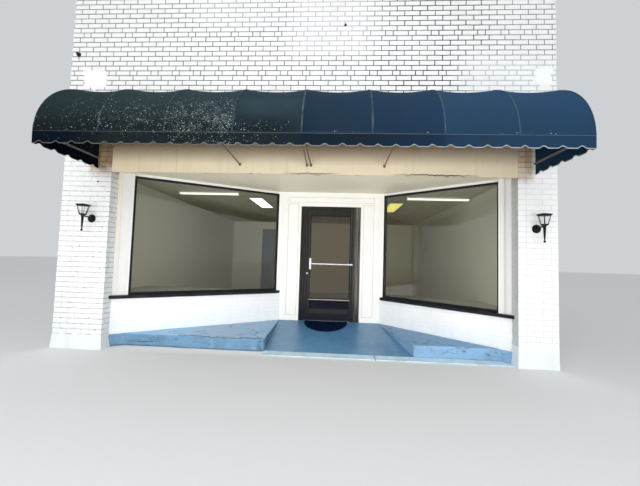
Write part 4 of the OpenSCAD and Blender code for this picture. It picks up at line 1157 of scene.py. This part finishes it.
tape = weathered("hem_tape", (1.0, 1.0, 1.0), (0.45, 0.43, 0.40), amount=0.8, blotch=6, grain=400, bump=0.0006,
                 rough=0.8)
tape.tint(faded(tape, [(-2.8, (0.10, 0.09, 0.08)), (-1.0, (0.13, 0.125, 0.115)), (0.6, (0.24, 0.25, 0.25)),
                       (2.8, (0.42, 0.45, 0.45))]))


def valance(name, length, count, point):
    """A notched strip and its bound edge; point puts (u, z) in the frame"""
    def cloth_at(s, t):
        u, w = s * length, 1 - t
        return point(u, w * (hem(u / length * count) - drop), w)

    def tape_at(s, t):
        u, w = s * length, 1 - t
        return point(u, hem(u / length * count) - drop + 0.0005 + tape_w * (1 - w), 1 - 0.07 * (1 - w))
    steps = round(count * 20)
    return (modify(grid(name, steps, 6, cloth_at), "SOLIDIFY", thickness=cloth_t, offset=0),
            modify(grid(name + "_tape", steps, 1, tape_at), "SOLIDIFY", thickness=0.0034, offset=0))


def on_side(x, way, start):
    return lambda u, z, w: (x + way * (skin + abs(hang(u + start, w))), hood_low.y + skin + u * 0.996, seam + z)


skirts = [
    valance("front_valance", long, waves, lambda u, z, w: (hood_low.x + u, hood_low.y + skin + hang(u, w), seam + z)),
    valance("left_valance", reach, side_waves, on_side(hood_low.x, 1, 3)),
    valance("right_valance", reach, side_waves, on_side(hood_high.x, -1, 7)),
]
for cloth, edge in skirts:
    complete(cloth, canvas, smooth=60)
    complete(edge, tape, smooth=60)
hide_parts("awning_valance")

# Seams: doubled cloth over each rib, and thin piping along the hood's foot
seams = []
seam_half, end_in = 0.009, 0.0005
for k in range(bays + 1):
    def seam_spot(s, v):
        u = min(max(k * bay + (2 * s - 1) * seam_half, end_in), long - end_in)
        return hood_point(u, v, 0.0002)
    strip = grid("rib_seams", 2, 40, seam_spot)
    face_out(strip, (0, -1, 1))
    seams.append(modify(strip, "SOLIDIFY", thickness=0.0022, offset=0))
seam_cloth = weathered("rib_seam_cloth", (1.0, 1.0, 1.0), (0.55, 0.55, 0.55), amount=0.9, blotch=14, grain=300,
                       bump=0.0006, rough=0.82)
seam_cloth.tint(faded(seam_cloth, [
    (-2.8, (0.014, 0.026, 0.028)), (-0.7, (0.018, 0.034, 0.037)), (-0.5, (0.024, 0.044, 0.052)),
    (0.1, (0.085, 0.110, 0.120)), (1.0, (0.070, 0.100, 0.120)), (2.8, (0.040, 0.080, 0.120))]))
x, z = seam_cloth.axes("XZ")
unworn = faded(seam_cloth, [(-2.8, (0.010, 0.021, 0.023)), (-0.7, (0.014, 0.029, 0.032)),
                            (0.1, (0.013, 0.031, 0.048)), (2.8, (0.016, 0.058, 0.120))])
rubbed = seam_cloth.noise(1.0, 5, 0.7, stretch=(2, 2, 9)).span(0.40, 0.60, 0.10, 0.90)
rubbed = rubbed * z.span(seam + 0.78, seam + 0.50, 0.15, 1.0) * z.span(seam + 0.02, seam + 0.10, 0.25, 1.0)
seam_cloth.paint(blend(rubbed, unworn, seam_cloth.color))
crowd = x.span(-0.4, -0.9, 0.0, 0.7) * z.span(seam + 0.70, seam + 0.2, 0.1, 1.0)
seam_cloth.over(mildew(seam_cloth, 62, crowd, 0.36), (0.42, 0.48, 0.45))
complete(join(*seams), seam_cloth, smooth=60)

cord_r = 0.0025
piping = add("cylinder", "front_piping", vertices=10, radius=cord_r, depth=long - 0.002, rotation=(0, math.pi / 2, 0),
             location=((hood_low.x + hood_high.x) / 2, hood_low.y + cord_r, seam))
edge_cord = weathered("edge_cord", (1.0, 1.0, 1.0), (0.5, 0.5, 0.5), amount=0.6, blotch=9, grain=400, bump=0.0004,
                      rough=0.75)
edge_cord.tint(faded(edge_cord, [(-2.8, (0.060, 0.060, 0.055)), (0.0, (0.100, 0.120, 0.130)),
                                 (2.8, (0.100, 0.150, 0.200))]))
complete(piping, edge_cord, smooth=60)

for cloth, edge in skirts[1:]:
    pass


# Lanterns: black painted steel cages on domed plates, each with six thin clear panes
# that stand just inside the bars of the cage
weathered("lantern_black", (0.004, 0.004, 0.005), (0.025, 0.022, 0.020), amount=0.4, blotch=18, grain=300,
          bump=0.0006, rough=0.5, Specular_IOR_Level=0.25).coat("left_lantern", "right_lantern")
thin_glass = clear_glass("lantern_glass", (0.97, 0.98, 0.98))
lantern_out, cage_down, pane_h = 0.165, 0.142, 0.118
for part in ("left_lantern", "right_lantern"):
    low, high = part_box(part)
    panes = add("cone", part + "_panes", vertices=6, radius1=0.040, radius2=0.073, depth=pane_h,
                end_fill_type="NOTHING", rotation=(0, 0, math.pi / 6),
                location=((low.x + high.x) / 2, street - lantern_out, high.z - cage_down + 0.002 + pane_h / 2))
    complete(modify(panes, "SOLIDIFY", thickness=0.002, offset=-1), thin_glass)


# Inside the shop: tiled floor, lay-in ceiling boards and bare varnished display decks
tile = weathered("floor_tile", (0.30, 0.25, 0.19), (0.16, 0.13, 0.10), amount=0.6, blotch=3, grain=120, bump=0.0004,
                 rough=0.4)
tile.tint(in_blocks(tile.place, 0.5, 0.004, 0.305, 0.305))
tile.coat("shop_floor")
lay_in = weathered("lay_in_ceiling", (0.60, 0.56, 0.42), (0.42, 0.38, 0.28), amount=0.5, blotch=2, grain=60,
                   bump=0.002, rough=0.9)
lay_in.tint(in_blocks(lay_in.place, 0.72, 0.012, 0.61, 1.22))
lay_in.coat("shop_ceiling")
weathered("deck_board", (0.45, 0.40, 0.30), (0.24, 0.19, 0.13), amount=0.4, blotch=5, grain=120, bump=0.0005,
          rough=0.5).coat("display_decks")


# Ceiling lights: two shallow enamelled channels with twin tubes near the windows, and
# two flush panels with a thin frame further in, the right one yellowed
def glowing(name, base, glow, strength):
    """A weathered finish that sends out light"""
    return weathered(name, base, tuple(c * 0.85 for c in base), amount=0.3, blotch=4, grain=200, bump=0.0003,
                     rough=0.5, Emission_Color=(*glow, 1), Emission_Strength=strength)


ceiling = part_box("ceiling_lights")[1].z
light_l, strip_w, strip_d, panel_w, panel_d, rim = 1.220, 0.110, 0.050, 0.300, 0.012, 0.012
tube_r, tube_in, channel_d, cap_l, cap_in = 0.013, 0.028, 0.022, 0.020, 0.012
enamel = weathered("channel_enamel", (0.62, 0.60, 0.52), (0.40, 0.38, 0.30), amount=0.4, blotch=5, grain=200,
                   bump=0.0003, rough=0.5)
tube_glow = glowing("tube_glow", (0.80, 0.79, 0.70), (1.0, 0.96, 0.84), 0.9)
panel_glow = glowing("panel_glow", (0.80, 0.79, 0.72), (1.0, 0.98, 0.90), 2.0)
yellow_glow = glowing("yellowed_glow", (0.80, 0.72, 0.20), (1.0, 0.90, 0.20), 0.8)
channels, tubes = [], []
for left, front in ((-2.660, street + 1.900), (1.865, street + 2.050)):
    channels.append(bar("light_channels", (left, front, ceiling - channel_d),
                        (left + light_l, front + strip_w, ceiling), 0.003))
    for end in (left, left + light_l - cap_l):
        channels.append(bar("tube_end", (end, front + cap_in, ceiling - strip_d),
                            (end + cap_l, front + strip_w - cap_in, ceiling), 0.003))
    for y in (front + tube_in, front + strip_w - tube_in):
        tubes.append(add("cylinder", "light_tubes", vertices=14, radius=tube_r, depth=light_l - 0.03,
                         location=(left + light_l / 2, y, ceiling - channel_d - tube_r),
                         rotation=(0, math.pi / 2, 0)))
for name, left, front, finish in (("left_panel", -1.400, street + 2.450, panel_glow),
                                  ("right_panel", 1.650, street + 2.750, yellow_glow)):
    right, back = left + panel_w, front + light_l
    for low, high in (((left, front), (right, front + rim)), ((left, back - rim), (right, back)),
                      ((left, front), (left + rim, back)), ((right - rim, front), (right, back))):
        channels.append(bar("panel_rim", (*low, ceiling - panel_d), (*high, ceiling), 0.0015))
    board = bar(name + "_diffuser", (left + rim, front + rim, ceiling - panel_d + 0.003),
                (right - rim, back - rim, ceiling), 0.001)
    complete(board, finish, smooth=30)
channels = join(*channels)
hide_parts("ceiling_lights")
complete(channels, enamel, smooth=30)
complete(join(*tubes), tube_glow, smooth=60)
